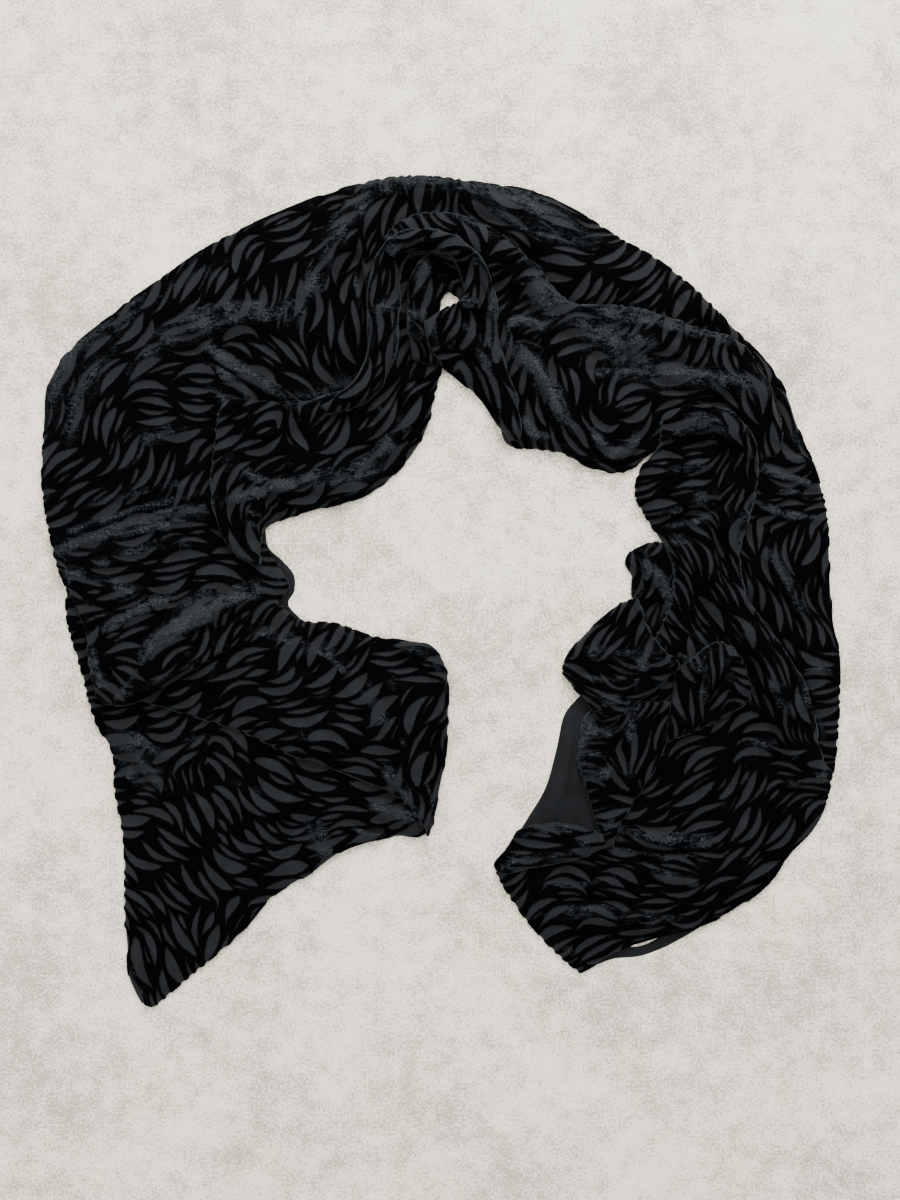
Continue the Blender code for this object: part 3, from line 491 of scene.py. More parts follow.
RIGHT_LOBE = stretch_from(
    names=["right_lobe"],
    sections=[
        (157, -5, 145, -8, 1), (164, -26, 128, -22, 3), (176, -46, 113, -36, 4),
        (188, -57, 102, -50, 4), (172, -75, 98, -64, 4), (152, -90, 105, -74, 3),
        (132, -108, 116, -86, 1),
    ],
    roll_a=2, roll_b=3,
    folds=[(112, -46, 140, -52, 170, -58, 3.5, 9), (104, -62, 130, -66, 158, -64, -2, 5)],
    sheens=[(104, -54, 128, -38, 168, -46, -0.3, 7), (187, -58, 160, -86, 133, -108, 0.5, 3)],
    flows=[(128, -38, 55), (160, -38, 62), (144, -58, -25), (120, -70, -30), (160, -74, 20)],
    broad=0.8,
)

RIGHT_POCKET = stretch_from(
    names=["right_pocket"],
    sections=[
        (178, -118, 187, -60, 1), (196, -112, 200, -50, 3), (212, -105, 212, -42, 3),
        (228, -97, 224, -40, 3), (240, -89, 236, -50, 2), (246, -84, 243, -68, 0),
    ],
    roll_a=2, roll_b=2,
    folds=[(200, -100, 206, -76, 204, -56, 2.5, 8)],
    sheens=[(245, -84, 208, -107, 178, -117, 0.6, 3), (220, -40, 232, -46, 240, -62, 0.5, 4)],
    flows=[(200, -70, -72), (220, -78, 50), (236, -78, -20)],
    broad=0.75,
)


class ScarfSizes(bpy.types.PropertyGroup):
    """The sizes that a user may change, in metres."""

    wall: bpy.props.FloatProperty(
        name="Cloth thickness", description="Velvet and lining together", default=0.0022,
        min=0.001, max=0.004, unit="LENGTH",
    )
    lining_wall: bpy.props.FloatProperty(
        name="Lining thickness", description="The lining alone, with its turned edge",
        default=0.0010, min=0.0005, max=0.002, unit="LENGTH",
    )
    pile: bpy.props.FloatProperty(
        name="Pile height", description="How far the pile stands above the burnt-out strokes",
        default=0.0012, min=0.0, max=0.002, unit="LENGTH",
    )
    spacing: bpy.props.FloatProperty(
        name="Grid spacing", description="Distance between the points of the cloth's mesh",
        default=0.00135, min=0.001, max=0.006, unit="LENGTH",
    )
    stroke_length: bpy.props.FloatProperty(
        name="Stroke length", description="Length of the longest burnt-out strokes",
        default=0.048, min=0.01, max=0.08, unit="LENGTH",
    )
    stroke_width: bpy.props.FloatProperty(
        name="Stroke width", description="Width of the broadest burnt-out strokes",
        default=0.0092, min=0.002, max=0.02, unit="LENGTH",
    )
    camera_height: bpy.props.FloatProperty(
        name="Camera height", description="Height of the camera above the table",
        default=0.92, min=0.5, max=4.0, unit="LENGTH",
    )


class ScarfColours(bpy.types.PropertyGroup):
    """The colours that a user may change."""

    pile: bpy.props.FloatVectorProperty(
        name="Pile", description="The upright pile", subtype="COLOR", size=3,
        default=(0.0004, 0.0005, 0.0008), min=0.0, max=1.0,
    )
    # Painted sheen: the colour to which the pile is lightened where it would catch the light
    nap: bpy.props.FloatVectorProperty(
        name="Painted pile sheen", description="The pile where it leans and catches the light",
        subtype="COLOR", size=3, default=(0.037, 0.0422, 0.0454), min=0.0, max=1.0,
    )
    burnt: bpy.props.FloatVectorProperty(
        name="Burnt-out strokes", description="The bare ground weave with the lining under it",
        subtype="COLOR", size=3, default=(0.0091, 0.0103, 0.0118), min=0.0, max=1.0,
    )
    lining: bpy.props.FloatVectorProperty(
        name="Lining", description="The plain lining", subtype="COLOR", size=3,
        default=(0.0034, 0.0040, 0.0049), min=0.0, max=1.0,
    )
    table: bpy.props.FloatVectorProperty(
        name="Table", description="The pale surface under the scarf", subtype="COLOR", size=3,
        default=(1.0, 0.910, 0.72), min=0.0, max=1.0,
    )


def smooth_curve(knots, values, at):
    """A cubic curve through the values at the knots, with slopes from their neighbours."""
    step = np.diff(knots)[:, None]
    rate = np.diff(values, axis=0) / step
    slope = np.empty_like(values)
    slope[0] = rate[0]
    slope[-1] = rate[-1]
    slope[1:-1] = (rate[:-1] * step[1:] + rate[1:] * step[:-1]) / (step[1:] + step[:-1])
    i = np.clip(np.searchsorted(knots, at, side="right") - 1, 0, len(knots) - 2)
    h = step[i]
    u = (at - knots[i])[:, None] / h
    return (
        values[i] * (1 + 2 * u) * (1 - u) ** 2
        + slope[i] * h * u * (1 - u) ** 2
        + values[i + 1] * u**2 * (3 - 2 * u)
        - slope[i + 1] * h * u**2 * (1 - u)
    )


def whole_strides(length, spacing):
    """How many places a side of this length has, in whole strides of the underside."""
    return UNDERSIDE_STRIDE * max(2, round(length / spacing / UNDERSIDE_STRIDE)) + 1


# A stretch's grid seen from above: t is a place's share of the way from edge a to edge b, across
# is the direction of that way, and the rest are its distances from the edges and its rise.
Plan = namedtuple("Plan", "place t to_a to_b to_end rise across")


def plan_of(stretch, spacing):
    """The grid's places seen from above, and each one's distance from the four edges."""
    table = np.array(stretch.sections, float)
    edge_a = np.linalg.norm(np.diff(table[:, 0:2], axis=0), axis=1)
    edge_b = np.linalg.norm(np.diff(table[:, 2:4], axis=0), axis=1)
    knots = np.concatenate([[0], np.cumsum((edge_a + edge_b) / 2)])
    along = np.linspace(0, knots[-1], whole_strides(knots[-1], spacing))
    rows = smooth_curve(knots, table, along)
    a, b = rows[:, None, 0:2], rows[:, None, 2:4]
    width = np.linalg.norm(b - a, axis=2)
    columns = whole_strides(np.percentile(width, USUAL_WIDTH), spacing)
    t = np.linspace(0, 1, columns)[None, :] + 0 * width
    quarters = QUARTER_CROWDING * np.sin(4 * np.pi * t) / (4 * np.pi)
    t = t + quarters - EDGE_CROWDING * np.sin(2 * np.pi * t) / np.pi
    peak = stretch.bow_peak
    bulge = (t / peak) ** (2 * peak) * ((1 - t) / (1 - peak)) ** (2 - 2 * peak)
    across = (b - a) / width[:, :, None]
    back = np.concatenate([across[:, :, 1:2], -across[:, :, 0:1]], axis=2)
    turn = np.sign(np.sum(back[0, 0] * (rows[1, 0:2] - rows[0, 0:2])))
    bow = rows[:, 5:6] * bulge
    place = a + (b - a) * t[:, :, None] - turn * back * bow[:, :, None]
    to_end = np.minimum(along, along[-1] - along)[:, None] + 0 * t
    return Plan(place, t, t * width, (1 - t) * width, to_end, rows[:, 4:5], across + 0 * place)


def inside(plan):
    """How far each place is from the nearest edge."""
    return np.minimum(np.minimum(plan.to_a, plan.to_b), plan.to_end)


def rounded(reach):
    """A quarter circle, from 0 where the reach is 0 to 1 from where it is 1."""
    return np.sqrt(1 - (1 - np.clip(reach, 0, 1)) ** 2)


def turned(distance, radius):
    """How far an edge of this radius has turned up to flat, from 0 at the edge to 1."""
    return rounded(distance / max(EDGE_BAND, EDGE_ROUND * radius))


def along_curve(place, curve):
    """What a fold or a sheen gives each place: its height on its line, fading to its sides."""
    u = np.linspace(0, 1, CURVE_STEPS)[:, None]
    start, middle, end = np.array(curve[0:6]).reshape(3, 2)
    pull = 2 * middle - (start + end) / 2
    line = start * (1 - u) ** 2 + pull * 2 * u * (1 - u) + end * u**2
    flat = place.reshape(-1, 2)
    low, high = line.min(axis=0) - curve.half_width, line.max(axis=0) + curve.half_width
    close = np.flatnonzero(((flat > low) & (flat < high)).all(axis=1))
    distance = np.linalg.norm(flat[close, None, :] - line, axis=2)
    nearest = distance.argmin(axis=1)
    off = np.clip(distance.min(axis=1) / curve.half_width, 0, 1)
    fade = np.sqrt(np.sin(np.pi * np.clip(u[nearest, 0], CURVE_END, 1 - CURVE_END)))
    given = np.zeros(len(flat))
    given[close] = curve.height * fade * (1 - off**2) ** 2
    return given.reshape(place.shape[:2])


def ripples(place, seed):
    """Slight unevenness of cloth that was dropped: a few long waves, near 0 on average."""
    random = np.random.default_rng(seed)
    given = 0
    for length, height in WAVES:
        for _ in range(WAVES_EACH):
            angle = random.uniform(0, np.pi)
            phase = random.uniform(0, 2 * np.pi)
            reach = place[:, :, 0] * np.cos(angle) + place[:, :, 1] * np.sin(angle)
            given = given + height * np.sin(2 * np.pi * reach / length + phase)
    return given * RIPPLE


class HeightMap:
    """The highest point so far over each cell of the table."""

    def __init__(self):
        side = round(2 * TABLE_REACH / CELL)
        self.z = np.zeros((side, side))

    def add(self, place, height):
        """Raises the map to a grid of points, with the places halfway between them."""
        for i in (0, 1):
            for j in (0, 1):
                rows, columns = slice(i, None), slice(j, None)
                back_rows = slice(None, -1 if i else None)
                back_columns = slice(None, -1 if j else None)
                spot = (place[rows, columns] + place[back_rows, back_columns]) / 2
                top = (height[rows, columns] + height[back_rows, back_columns]) / 2
                x, y = ((spot + TABLE_REACH) / CELL).astype(int).reshape(-1, 2).T
                np.maximum.at(self.z, (x, y), top.ravel())

    def clear(self):
        """How high a wall must stay over each cell."""
        z = grown(self.z, 1)
        return np.where(z > 0, z + LAYER_GAP, 0)


def grown(z, times):
    """The map with its high places widened by so many cells."""
    for _ in range(times):
        for axis in (0, 1):
            z = np.maximum(z, np.maximum(np.roll(z, 1, axis), np.roll(z, -1, axis)))
    return z


def softened(z, reach=BRIDGE):
    """The map with its steps spread, as cloth bridges them."""
    for _ in range(SOFT_PASSES):
        for axis in (0, 1):
            z = sum(np.roll(z, k, axis) for k in range(-reach, reach + 1)) / (2 * reach + 1)
    return z


def read_grid(values, spot):
    """A grid's values at places given in its own cells, blended between the cells."""
    spot = np.clip(spot, 0, np.array(values.shape) - LAST_CELL)
    x, y = np.floor(spot).astype(int).reshape(-1, 2).T
    u, v = (spot.reshape(-1, 2) - np.stack([x, y], 1)).T
    found = (
        values[x, y] * (1 - u) * (1 - v)
        + values[x + 1, y] * u * (1 - v)
        + values[x, y + 1] * (1 - u) * v
        + values[x + 1, y + 1] * u * v
    )
    return found.reshape(spot.shape[:-1])


def lifted(stretch, plan):
    """How far the wall stands clear of what it lies on: edges turned down, folds up."""
    t = plan.t
    level = stretch.roll_a * (1 - t) + stretch.roll_b * t + plan.rise * 4 * t * (1 - t)
    level = level + sum(along_curve(plan.place, fold) for fold in stretch.folds)
    if not stretch.lining:
        level = level + ripples(plan.place, len(stretch.sections) + len(stretch.flows))
    level = level * turned(plan.to_a, stretch.roll_a) * turned(plan.to_b, stretch.roll_b)
    return np.maximum(level * turned(plan.to_end, END_RADIUS), 0)


def settled(plan, lift, table):
    """The wall's underside: on the map or the table, raised by its lift."""
    bridging = np.clip(inside(plan) / SETTLE, 0, 1)
    bridging = bridging**2 * (3 - 2 * bridging)
    clear = table.clear()
    spot = (plan.place + TABLE_REACH) / CELL - 0.5
    under = read_grid(clear, spot)
    bridged = read_grid(softened(grown(clear, GROWN)), spot)
    edge = read_grid(softened(clear, 1), spot)
    base = edge * (1 - bridging) + np.maximum(bridged, under) * bridging
    return np.maximum(base + lift, np.where(under > LAYER_GAP, under, 0))


def turned_angle(angle, towards):
    """The line's direction that is nearer to the one given."""
    off = np.mod(angle - towards + np.pi / 2, np.pi) - np.pi / 2
    return towards + off


def flow_at(flows, spots):
    """The direction in which strokes run, blended from the stretch's own directions."""
    table = np.array(flows, float)
    apart = ((spots[:, None, :] - table[:, 0:2]) ** 2).sum(axis=2)
    weight = 1 / (apart + FLOW_BLEND**2) ** 2
    twice = np.radians(2 * table[:, 2])
    return np.arctan2(weight @ np.sin(twice), weight @ np.cos(twice)) / 2


def stroke_paths(centres, lengths, bends, flows):
    """Each stroke's middle line: from its centre both ways along the flow, bent a little more."""
    half = STEPS // 2
    path = np.empty((len(centres), STEPS, 2))
    path[:, half] = centres
    start = flow_at(flows, centres)
    for way in (1, -1):
        at = centres.copy()
        heading = start if way > 0 else start + np.pi
        step = lengths / (STEPS - 1)
        for k in range(1, half + 1):
            heading = turned_angle(flow_at(flows, at), heading - way * bends * step * (k - 1))
            heading = heading + way * bends * step * k
            at = at + step[:, None] * np.stack([np.cos(heading), np.sin(heading)], 1)
            path[:, half + way * k] = at
    return path


# A round of placing strokes: how long and broad they are, as shares of the largest, and how many
# square millimetres of cloth there are for each try.
Round = namedtuple("Round", "length width area_per_try")
ROUNDS = [Round(1.0, 1.0, 9), Round(0.8, 0.8, 8), Round(0.6, 0.55, 7), Round(0.42, 0.4, 8)]


def bend_of(centres, random):
    """How strokes curve, per millimetre: neighbours curve to the same side."""
    x, y = centres.T
    side = sum(
        np.sin(u / long + swing * np.sin(v / longer))
        for u, v, (long, swing, longer) in zip((x, y), (y, x), SWAYS)
    )
    side = np.sign(side + random.uniform(-SWAY_NOISE, SWAY_NOISE, len(centres)))
    return side * random.uniform(*BENDS, len(centres))


def strokes_of(stretch, plan, sizes, seed):
    """The stretch's burnt-out strokes: long ones first, then shorter ones between them."""
    random = np.random.default_rng(seed)
    rows, columns = plan.place.shape[:2]
    width = (plan.to_a + plan.to_b).mean()
    area = width * (plan.to_end.max() * 2)
    longest, broadest = sizes.stroke_length / MM, stretch.broad * sizes.stroke_width / MM
    along = np.linspace(0, 1, STEPS)
    paths, radii = np.empty((0, STEPS, 2)), np.empty((0, STEPS))
    for kind in ROUNDS:
        count = int(area / kind.area_per_try)
        i = random.integers(0, rows, count)
        t = random.uniform(-OVERHANG, 1 + OVERHANG, count)[:, None]
        centres = plan.place[i, 0] * (1 - t) + plan.place[i, -1] * t
        middle = plan.place[i, columns // 2] - (plan.place[i, 0] + plan.place[i, -1]) / 2
        centres += middle * np.clip(4 * t * (1 - t), 0, 1)
        lengths = longest * kind.length * random.uniform(SHORTEST, 1.0, count)
        widths = broadest * kind.width * random.uniform(SLIMMEST, 1.0, count)
        lean = random.uniform(*LEANS, count)[:, None]
        new_paths = stroke_paths(centres, lengths, bend_of(centres, random), stretch.flows)
        shape = np.sin(np.pi * along**lean)
        new_radii = widths[:, None] / 2 * shape
        for path, radius in zip(new_paths, new_radii):
            off = np.abs(paths[:, STEPS // 2] - path[STEPS // 2])
            close = np.flatnonzero(off.max(axis=1) < longest)
            if (np.hypot(*off[close].T) < STROKE_CLEAR + radius.max()).any():
                continue
            if len(close):
                gap = np.linalg.norm(path[:, None, None, :] - paths[close][None], axis=3)
                gap = gap - radius[:, None, None] - radii[close][None]
                if gap.min() < STROKE_CLEAR:
                    continue
            paths = np.concatenate([paths, path[None]])
            radii = np.concatenate([radii, radius[None]])
    return paths, radii


def stroke_depth(stretch, plan, sizes, cloth_place, seed):
    """How deep inside a stroke each place is, in millimetres, and below 0 on the pile."""
    paths, radii = strokes_of(stretch, plan, sizes, seed)
    low = cloth_place.reshape(-1, 2).min(axis=0) - PATTERN_MARGIN
    high = cloth_place.reshape(-1, 2).max(axis=0) + PATTERN_MARGIN
    side = np.ceil((high - low) / PATTERN_CELL).astype(int)
    depth = np.full(side, DEEPEST_PILE, np.float32)
    for path, radius in zip(paths, radii):
        edge = radius.max() - DEEPEST_PILE
        first = np.maximum(((path.min(axis=0) - edge - low) / PATTERN_CELL).astype(int), 0)
        last = np.minimum(((path.max(axis=0) + edge - low) / PATTERN_CELL).astype(int) + 1, side)
        if (last <= first).any():
            continue
        x, y = np.meshgrid(*(np.arange(f, e) for f, e in zip(first, last)), indexing="ij")
        spot = np.stack([x, y], 2) * PATTERN_CELL + low
        found = np.full(x.shape, DEEPEST_PILE)
        for p, q, r, s in zip(path[:-1], path[1:], radius[:-1], radius[1:]):
            line = q - p
            u = np.clip(((spot - p) @ line) / (line @ line), 0, 1)
            off = spot - p - u[:, :, None] * line
            found = np.maximum(found, r + (s - r) * u - np.sqrt((off**2).sum(axis=2)))
        window = depth[first[0] : last[0], first[1] : last[1]]
        np.maximum(window, found, out=window)
    return read_grid(depth, (cloth_place - low) / PATTERN_CELL)


def cloth_places(plan, height):
    """Where each place is on the cloth itself: further out than seen from above on a slope."""
    points = np.dstack([plan.place, height])
    flat = np.linalg.norm(np.diff(plan.place, axis=1), axis=2)
    real = np.linalg.norm(np.diff(points, axis=1), axis=2)
    extra = np.concatenate([0 * flat[:, :1], np.cumsum(np.minimum(real - flat, flat), axis=1)], 1)
    extra = extra - extra[:, extra.shape[1] // 2][:, None]
    return plan.place + plan.across * extra[:, :, None]


def normals_of(points):
    """Each place's normal, on the side that faces up."""
    normal = np.cross(np.gradient(points, axis=0), np.gradient(points, axis=1))
    normal = normal / np.maximum(np.linalg.norm(normal, axis=2), TINY)[:, :, None]
    return normal * np.sign(normal[:, :, 2:3].mean())


def smoothed_grid(values, reach):
    """A grid of values averaged over its neighbours, kept as it is at the grid's edges."""
    for axis in (0, 1):
        padded = np.pad(values, [(reach, reach) if k == axis else (0, 0) for k in (0, 1)], "edge")
        size = values.shape[axis]
        parts = [np.take(padded, np.arange(k, k + size), axis) for k in range(2 * reach + 1)]
        values = sum(parts) / len(parts)
    return values


def painted_sheen_of(stretch, plan, bottom, top, normal):
    """Painted sheen on the pile: the sheens, crests, slopes facing the window, edges on cloth."""
    nap = 0 * top
    for sheen in stretch.sheens:
        for share, strength in (SKIRT, RIDGE):
            part = sheen._replace(half_width=share * sheen.half_width)
            nap = nap + strength * along_curve(plan.place, part)
    crest = (top - smoothed_grid(top, CREST_REACH)) / CREST_HEIGHT
    crest = np.clip(crest - CREST_FLOOR, 0, CREST_MOST)
    flank = FLANK * np.clip((normal[:, :, 1] - FLANK_STARTS) / FLANK_RANGE, 0, 1)
    nap = nap + (crest + flank) * np.clip(inside(plan) / INNER_FADE - INNER_START, INNER_LEAST, 1)
    ground, rise = ON_CLOTH
    for distance, column in ((plan.to_a, 0), (plan.to_b, -1)):
        on_cloth = np.clip((bottom[:, column] - ground) / rise, 0, 1)[:, None]
        nap = nap + HAIRLINE * on_cloth * np.exp(-((distance / HAIRLINE_WIDTH) ** 2))
    return np.clip(nap, 0, 1)


# A stretch's two faces, and for each place its depth in a stroke and its pile's painted sheen.
Surface = namedtuple("Surface", "lower upper depth nap")


def surface_of(stretch, sizes, table, seed):
    """One stretch laid on what is there: its two faces in millimetres, and its attributes."""
    plan = plan_of(stretch, sizes.spacing / MM)
    wall = (sizes.lining_wall if stretch.lining else sizes.wall) / MM
    bottom = settled(plan, lifted(stretch, plan), table)
    thickness = wall * (EDGE_SHARE + (1 - EDGE_SHARE) * rounded(inside(plan) / EDGE_THIN))
    upright = np.abs(normals_of(np.dstack([plan.place, bottom]))[:, :, 2])
    top = bottom + thickness * np.minimum(1 / np.maximum(upright, STEEPEST), THICKEST)
    table.add(plan.place, top)
    upper = np.dstack([plan.place, top])
    normal = normals_of(upper)
    if stretch.lining:
        depth = np.zeros(top.shape)
    else:
        depth = stroke_depth(stretch, plan, sizes, cloth_places(plan, top), seed)
        pile = 1 - np.clip((depth + PILE_FOOT) / (2 * PILE_FOOT), 0, 1)
        upper = upper + normal * (pile * sizes.pile / MM)[:, :, None]
    lower = np.dstack([plan.place, bottom])
    return Surface(lower, upper, depth, painted_sheen_of(stretch, plan, bottom, top, normal))


def part_of(surface, first, last):
    """Rows first to last, with a seam gap taken off each end that was cut."""
    cut = Surface(*(grid[first : last + 1].copy() for grid in surface))
    rows = len(surface.lower)
    for end, inner, was_cut in ((0, 1, first > 0), (-1, -2, last < rows - 1)):
        if was_cut:
            for face in (cut.lower, cut.upper):
                step = np.linalg.norm(face[inner] - face[end], axis=1)[:, None]
                face[end] += (face[inner] - face[end]) * np.minimum(SEAM_GAP / step, 0.5)
    return cut


def shell_mesh(name, surface):
    """A closed thin shell: a fine upper face, and an underside with fewer places."""
    stride = UNDERSIDE_STRIDE
    rows, columns = surface.upper.shape[:2]
    under = surface.lower[::stride, ::stride]
    under_rows, under_columns = under.shape[:2]
    top_at = np.arange(rows * columns).reshape(rows, columns)
    under_at = rows * columns + np.arange(under_rows * under_columns)
    under_at = under_at.reshape(under_rows, under_columns)

    def quads(at):
        return np.stack(
            [at[:-1, :-1].ravel(), at[1:, :-1].ravel(), at[1:, 1:].ravel(), at[:-1, 1:].ravel()], 1
        )

    def rim(at):
        return np.concatenate([at[:, 0], at[-1, 1:], at[-2::-1, -1], at[0, -2::-1]])

    fine, coarse = rim(top_at), rim(under_at)
    near, far = np.repeat(coarse[:-1], stride), np.repeat(coarse[1:], stride)
    step = np.tile(np.arange(stride), len(coarse) - 1)
    foot = np.where(step < stride / 2, near, far)
    sides = np.stack([fine[:-1], fine[1:], foot], 1)
    middle = math.ceil(stride / 2)
    knees = np.stack([coarse[:-1], fine[middle::stride][: len(coarse) - 1], coarse[1:]], 1)
    four = np.concatenate([quads(top_at), quads(under_at)[:, ::-1]])
    three = np.concatenate([sides[:, ::-1], knees[:, ::-1]])
    points = np.concatenate([surface.upper.reshape(-1, 3), under.reshape(-1, 3)]) * MM
    grid = surface.upper
    if np.cross(grid[1, 0] - grid[0, 0], grid[0, 1] - grid[0, 0])[2] < 0:
        four, three = four[:, ::-1], three[:, ::-1]
    mesh = bpy.data.meshes.new(name)
    mesh.vertices.add(len(points))
    mesh.vertices.foreach_set("co", points.ravel())
    loops = np.concatenate([four.ravel(), three.ravel()])
    mesh.loops.add(len(loops))
    mesh.loops.foreach_set("vertex_index", loops)
    mesh.polygons.add(len(four) + len(three))
    starts = np.concatenate(
        [np.arange(len(four)) * 4, len(four) * 4 + np.arange(len(three)) * 3]
    )
    mesh.polygons.foreach_set("loop_start", starts)
    mesh.update(calc_edges=True)
    mesh.polygons.foreach_set("use_smooth", np.ones(len(starts), bool))
    for label, values in (("stroke_depth", surface.depth), ("nap", surface.nap)):
        both = np.concatenate([values.ravel(), values[::stride, ::stride].ravel()])
        layer = mesh.attributes.new(label, "FLOAT", "POINT")
        layer.data.foreach_set("value", both.astype(np.float32))
    mesh.validate()
    return mesh


def shade_hollows(mesh, levels):
    """Stores how deep each point lies below the cloth round it, near by and further off."""
    points = np.empty(3 * len(mesh.vertices), np.float32)
    mesh.vertices.foreach_get("co", points)
    points = points.reshape(-1, 3).astype(float) / MM
    spot = (points[:, 0:2] + TABLE_REACH) / CELL - 0.5
    hollow = sum(np.maximum(read_grid(level, spot) - points[:, 2], 0) for level in levels)
    layer = mesh.attributes.new("hollow", "FLOAT", "POINT")
    layer.data.foreach_set("value", hollow.astype(np.float32))


# The velvet's looks. Noises are in waves to a metre, and each pair is where a step starts and ends.
FUZZ = 1300.0
RAGGED = 330.0
PATCHES = 85.0
STREAKS = 260.0
STREAK_SHAPE = (1.0, 2.2, 1.0)
SPARKLE = 1200.0
EDGE_FUZZ, EDGE_RAGGED = 1.2, 1.4  # how far the noises move a stroke's edge, in millimetres
BURNT_STEP = (-0.4, 0.9)
SHADE_STEP = (0.2, 4.5)
SPARKLE_STEP = (0.44, 0.66)
# Painted sheen: how far the pile's colour is lightened, with sparkles, on crests, slopes and edges
LIT_STREAKS, LIT_FUZZ, LIT_PATCHES = 3.0, 1.6, 1.8
LIT_STEP = (0.12, 1.05)
PAINTED_SHEEN_STEP = (0.02, 0.45)
LIT_SHADE = 0.5  # how much painted shade in a hollow dims the painted sheen
PILE_GLOW, PILE_SPARKLE = 0.28, 0.9
SHEEN_OVER_STROKE, SHEEN_OVER_STROKE_SPARKLE = 0.1, 0.6  # how far the painted sheen covers a stroke
BARE_TONE, BARE_THREADS, BARE_PATCHES = 0.56, 0.3, 1.3
BARE_SHADE = 0.8
BARE_DARK = 0.3  # share of the strokes' colour where they are darkest
PILE_SHEEN_TINT = (0.62, 0.70, 0.74, 1.0)
VELVET_PITCH = 0.0007  # metres from thread to thread

# The lining's looks
LINING_PITCH = 0.0006
LINING_CLOUDS = 60.0
LINING_TONE, LINING_THREADS, LINING_MOTTLE = 0.35, 0.35, 2.4
LINING_DARK, LINING_LIGHT = 0.5, 1.6
CREASES = 90.0
CREASE_SHAPE = (1.0, 0.25, 1.0)
THREAD_BUMP = 0.15  # share of the creases' height

# The table's looks
CLOUDS, MOTTLES, GRAIN, BLUSH = 8.0, 52.0, 520.0, 14.0
BLUSH_STEP = (0.4, 0.7)
ROSY = (1.0, 0.955, 0.935)
TABLE_TONE, CLOUD_SWING, MOTTLE_SWING, GRAIN_SWING = 0.33, 2.6, 3.4, 4.5
TABLE_DARK = 0.44
WAVE_SCALE = 0.314  # what a wave texture's scale is for a pitch of one metre


class Wire:
    """A value in a shader. Arithmetic on it adds Math nodes."""

    def __init__(self, shading, socket):
        self.shading = shading
        self.socket = socket

    def _math(self, operation, first, second=None, clamp=False):
        settings = {"operation": operation, "use_clamp": clamp}
        values = {0: first} if second is None else {0: first, 1: second}
        return self.shading.add("ShaderNodeMath", settings, values)

    def __add__(self, other):
        return self._math("ADD", self, other)

    def __radd__(self, other):
        return self._math("ADD", other, self)

    def __sub__(self, other):
        return self._math("SUBTRACT", self, other)

    def __rsub__(self, other):
        return self._math("SUBTRACT", other, self)

    def __mul__(self, other):
        return self._math("MULTIPLY", self, other)

    def __rmul__(self, other):
        return self._math("MULTIPLY", other, self)

    def clamped(self):
        return self._math("ADD", self, 0.0, clamp=True)

    def swing(self, reach):
        """A noise turned into a change round 0, this far in all."""
        return (self - 0.5) * reach

    def step(self, low, high):
        """0 below low, 1 above high, and smooth between them."""
        settings = {"interpolation_type": "SMOOTHSTEP"}
        values = {"Value": self, "From Min": low, "From Max": high}
        return self.shading.add("ShaderNodeMapRange", settings, values)


class Shading:
    """A material's nodes."""

    def __init__(self, name):
        self.material = bpy.data.materials.new(name)
        self.material.use_nodes = True
        self.tree = self.material.node_tree
        self.tree.nodes.clear()

    def add(self, kind, settings=None, values=None, out=0):
        """A node with its settings, then its sockets, which take numbers or links."""
        node = self.tree.nodes.new(kind)
        for name, value in (settings or {}).items():
            setattr(node, name, value)
        for name, value in (values or {}).items():
            if isinstance(value, Wire):
                self.tree.links.new(value.socket, node.inputs[name])
            else:
                node.inputs[name].default_value = value
        return Wire(self, node.outputs[out])

    def attribute(self, name):
        return self.add("ShaderNodeAttribute", {"attribute_name": name}, out="Fac")

    def place(self):
        return self.add("ShaderNodeTexCoord", out="Object")

    def noise(self, place, scale, detail=2.0, roughness=0.5):
        values = {"Vector": place, "Scale": scale, "Detail": detail, "Roughness": roughness}
        return self.add("ShaderNodeTexNoise", None, values)

    def stretched(self, place, scale):
        return self.add("ShaderNodeMapping", None, {"Vector": place, "Scale": scale})

    def mix(self, share, first, second):
        """Colour from first to second as the share goes from 0 to 1."""
        settings = {"data_type": "RGBA"}
        values = {0: share, 6: colour4(first), 7: colour4(second)}
        return self.add("ShaderNodeMix", settings, values, out=2)

    def bump(self, height, distance, strength=1.0):
        values = {"Height": height, "Distance": distance, "Strength": strength}
        return self.add("ShaderNodeBump", None, values)

    def cloth(self, **sockets):
        values = {name.replace("_", " "): value for name, value in sockets.items()}
        return self.add("ShaderNodeBsdfPrincipled", None, values)

    def finish(self, shader):
        output = self.tree.nodes.new("ShaderNodeOutputMaterial")
        self.tree.links.new(shader.socket, output.inputs["Surface"])
        return self.material


def colour4(colour):
    """A colour as a socket takes it: a link, or four numbers."""
    return colour if isinstance(colour, Wire) else (*colour[:3], 1.0)


def scaled(colour, share):
    """A colour made darker or lighter."""
    return [channel * share for channel in colour]


def weave(shading, place, pitch):
    """A plain weave of this pitch: threads over and under each other."""
    across, along = (
        shading.add(
            "ShaderNodeTexWave",
            {"bands_direction": direction},
            {"Vector": place, "Scale": WAVE_SCALE / pitch},
        )
        for direction in "XY"
    )
    return across * along


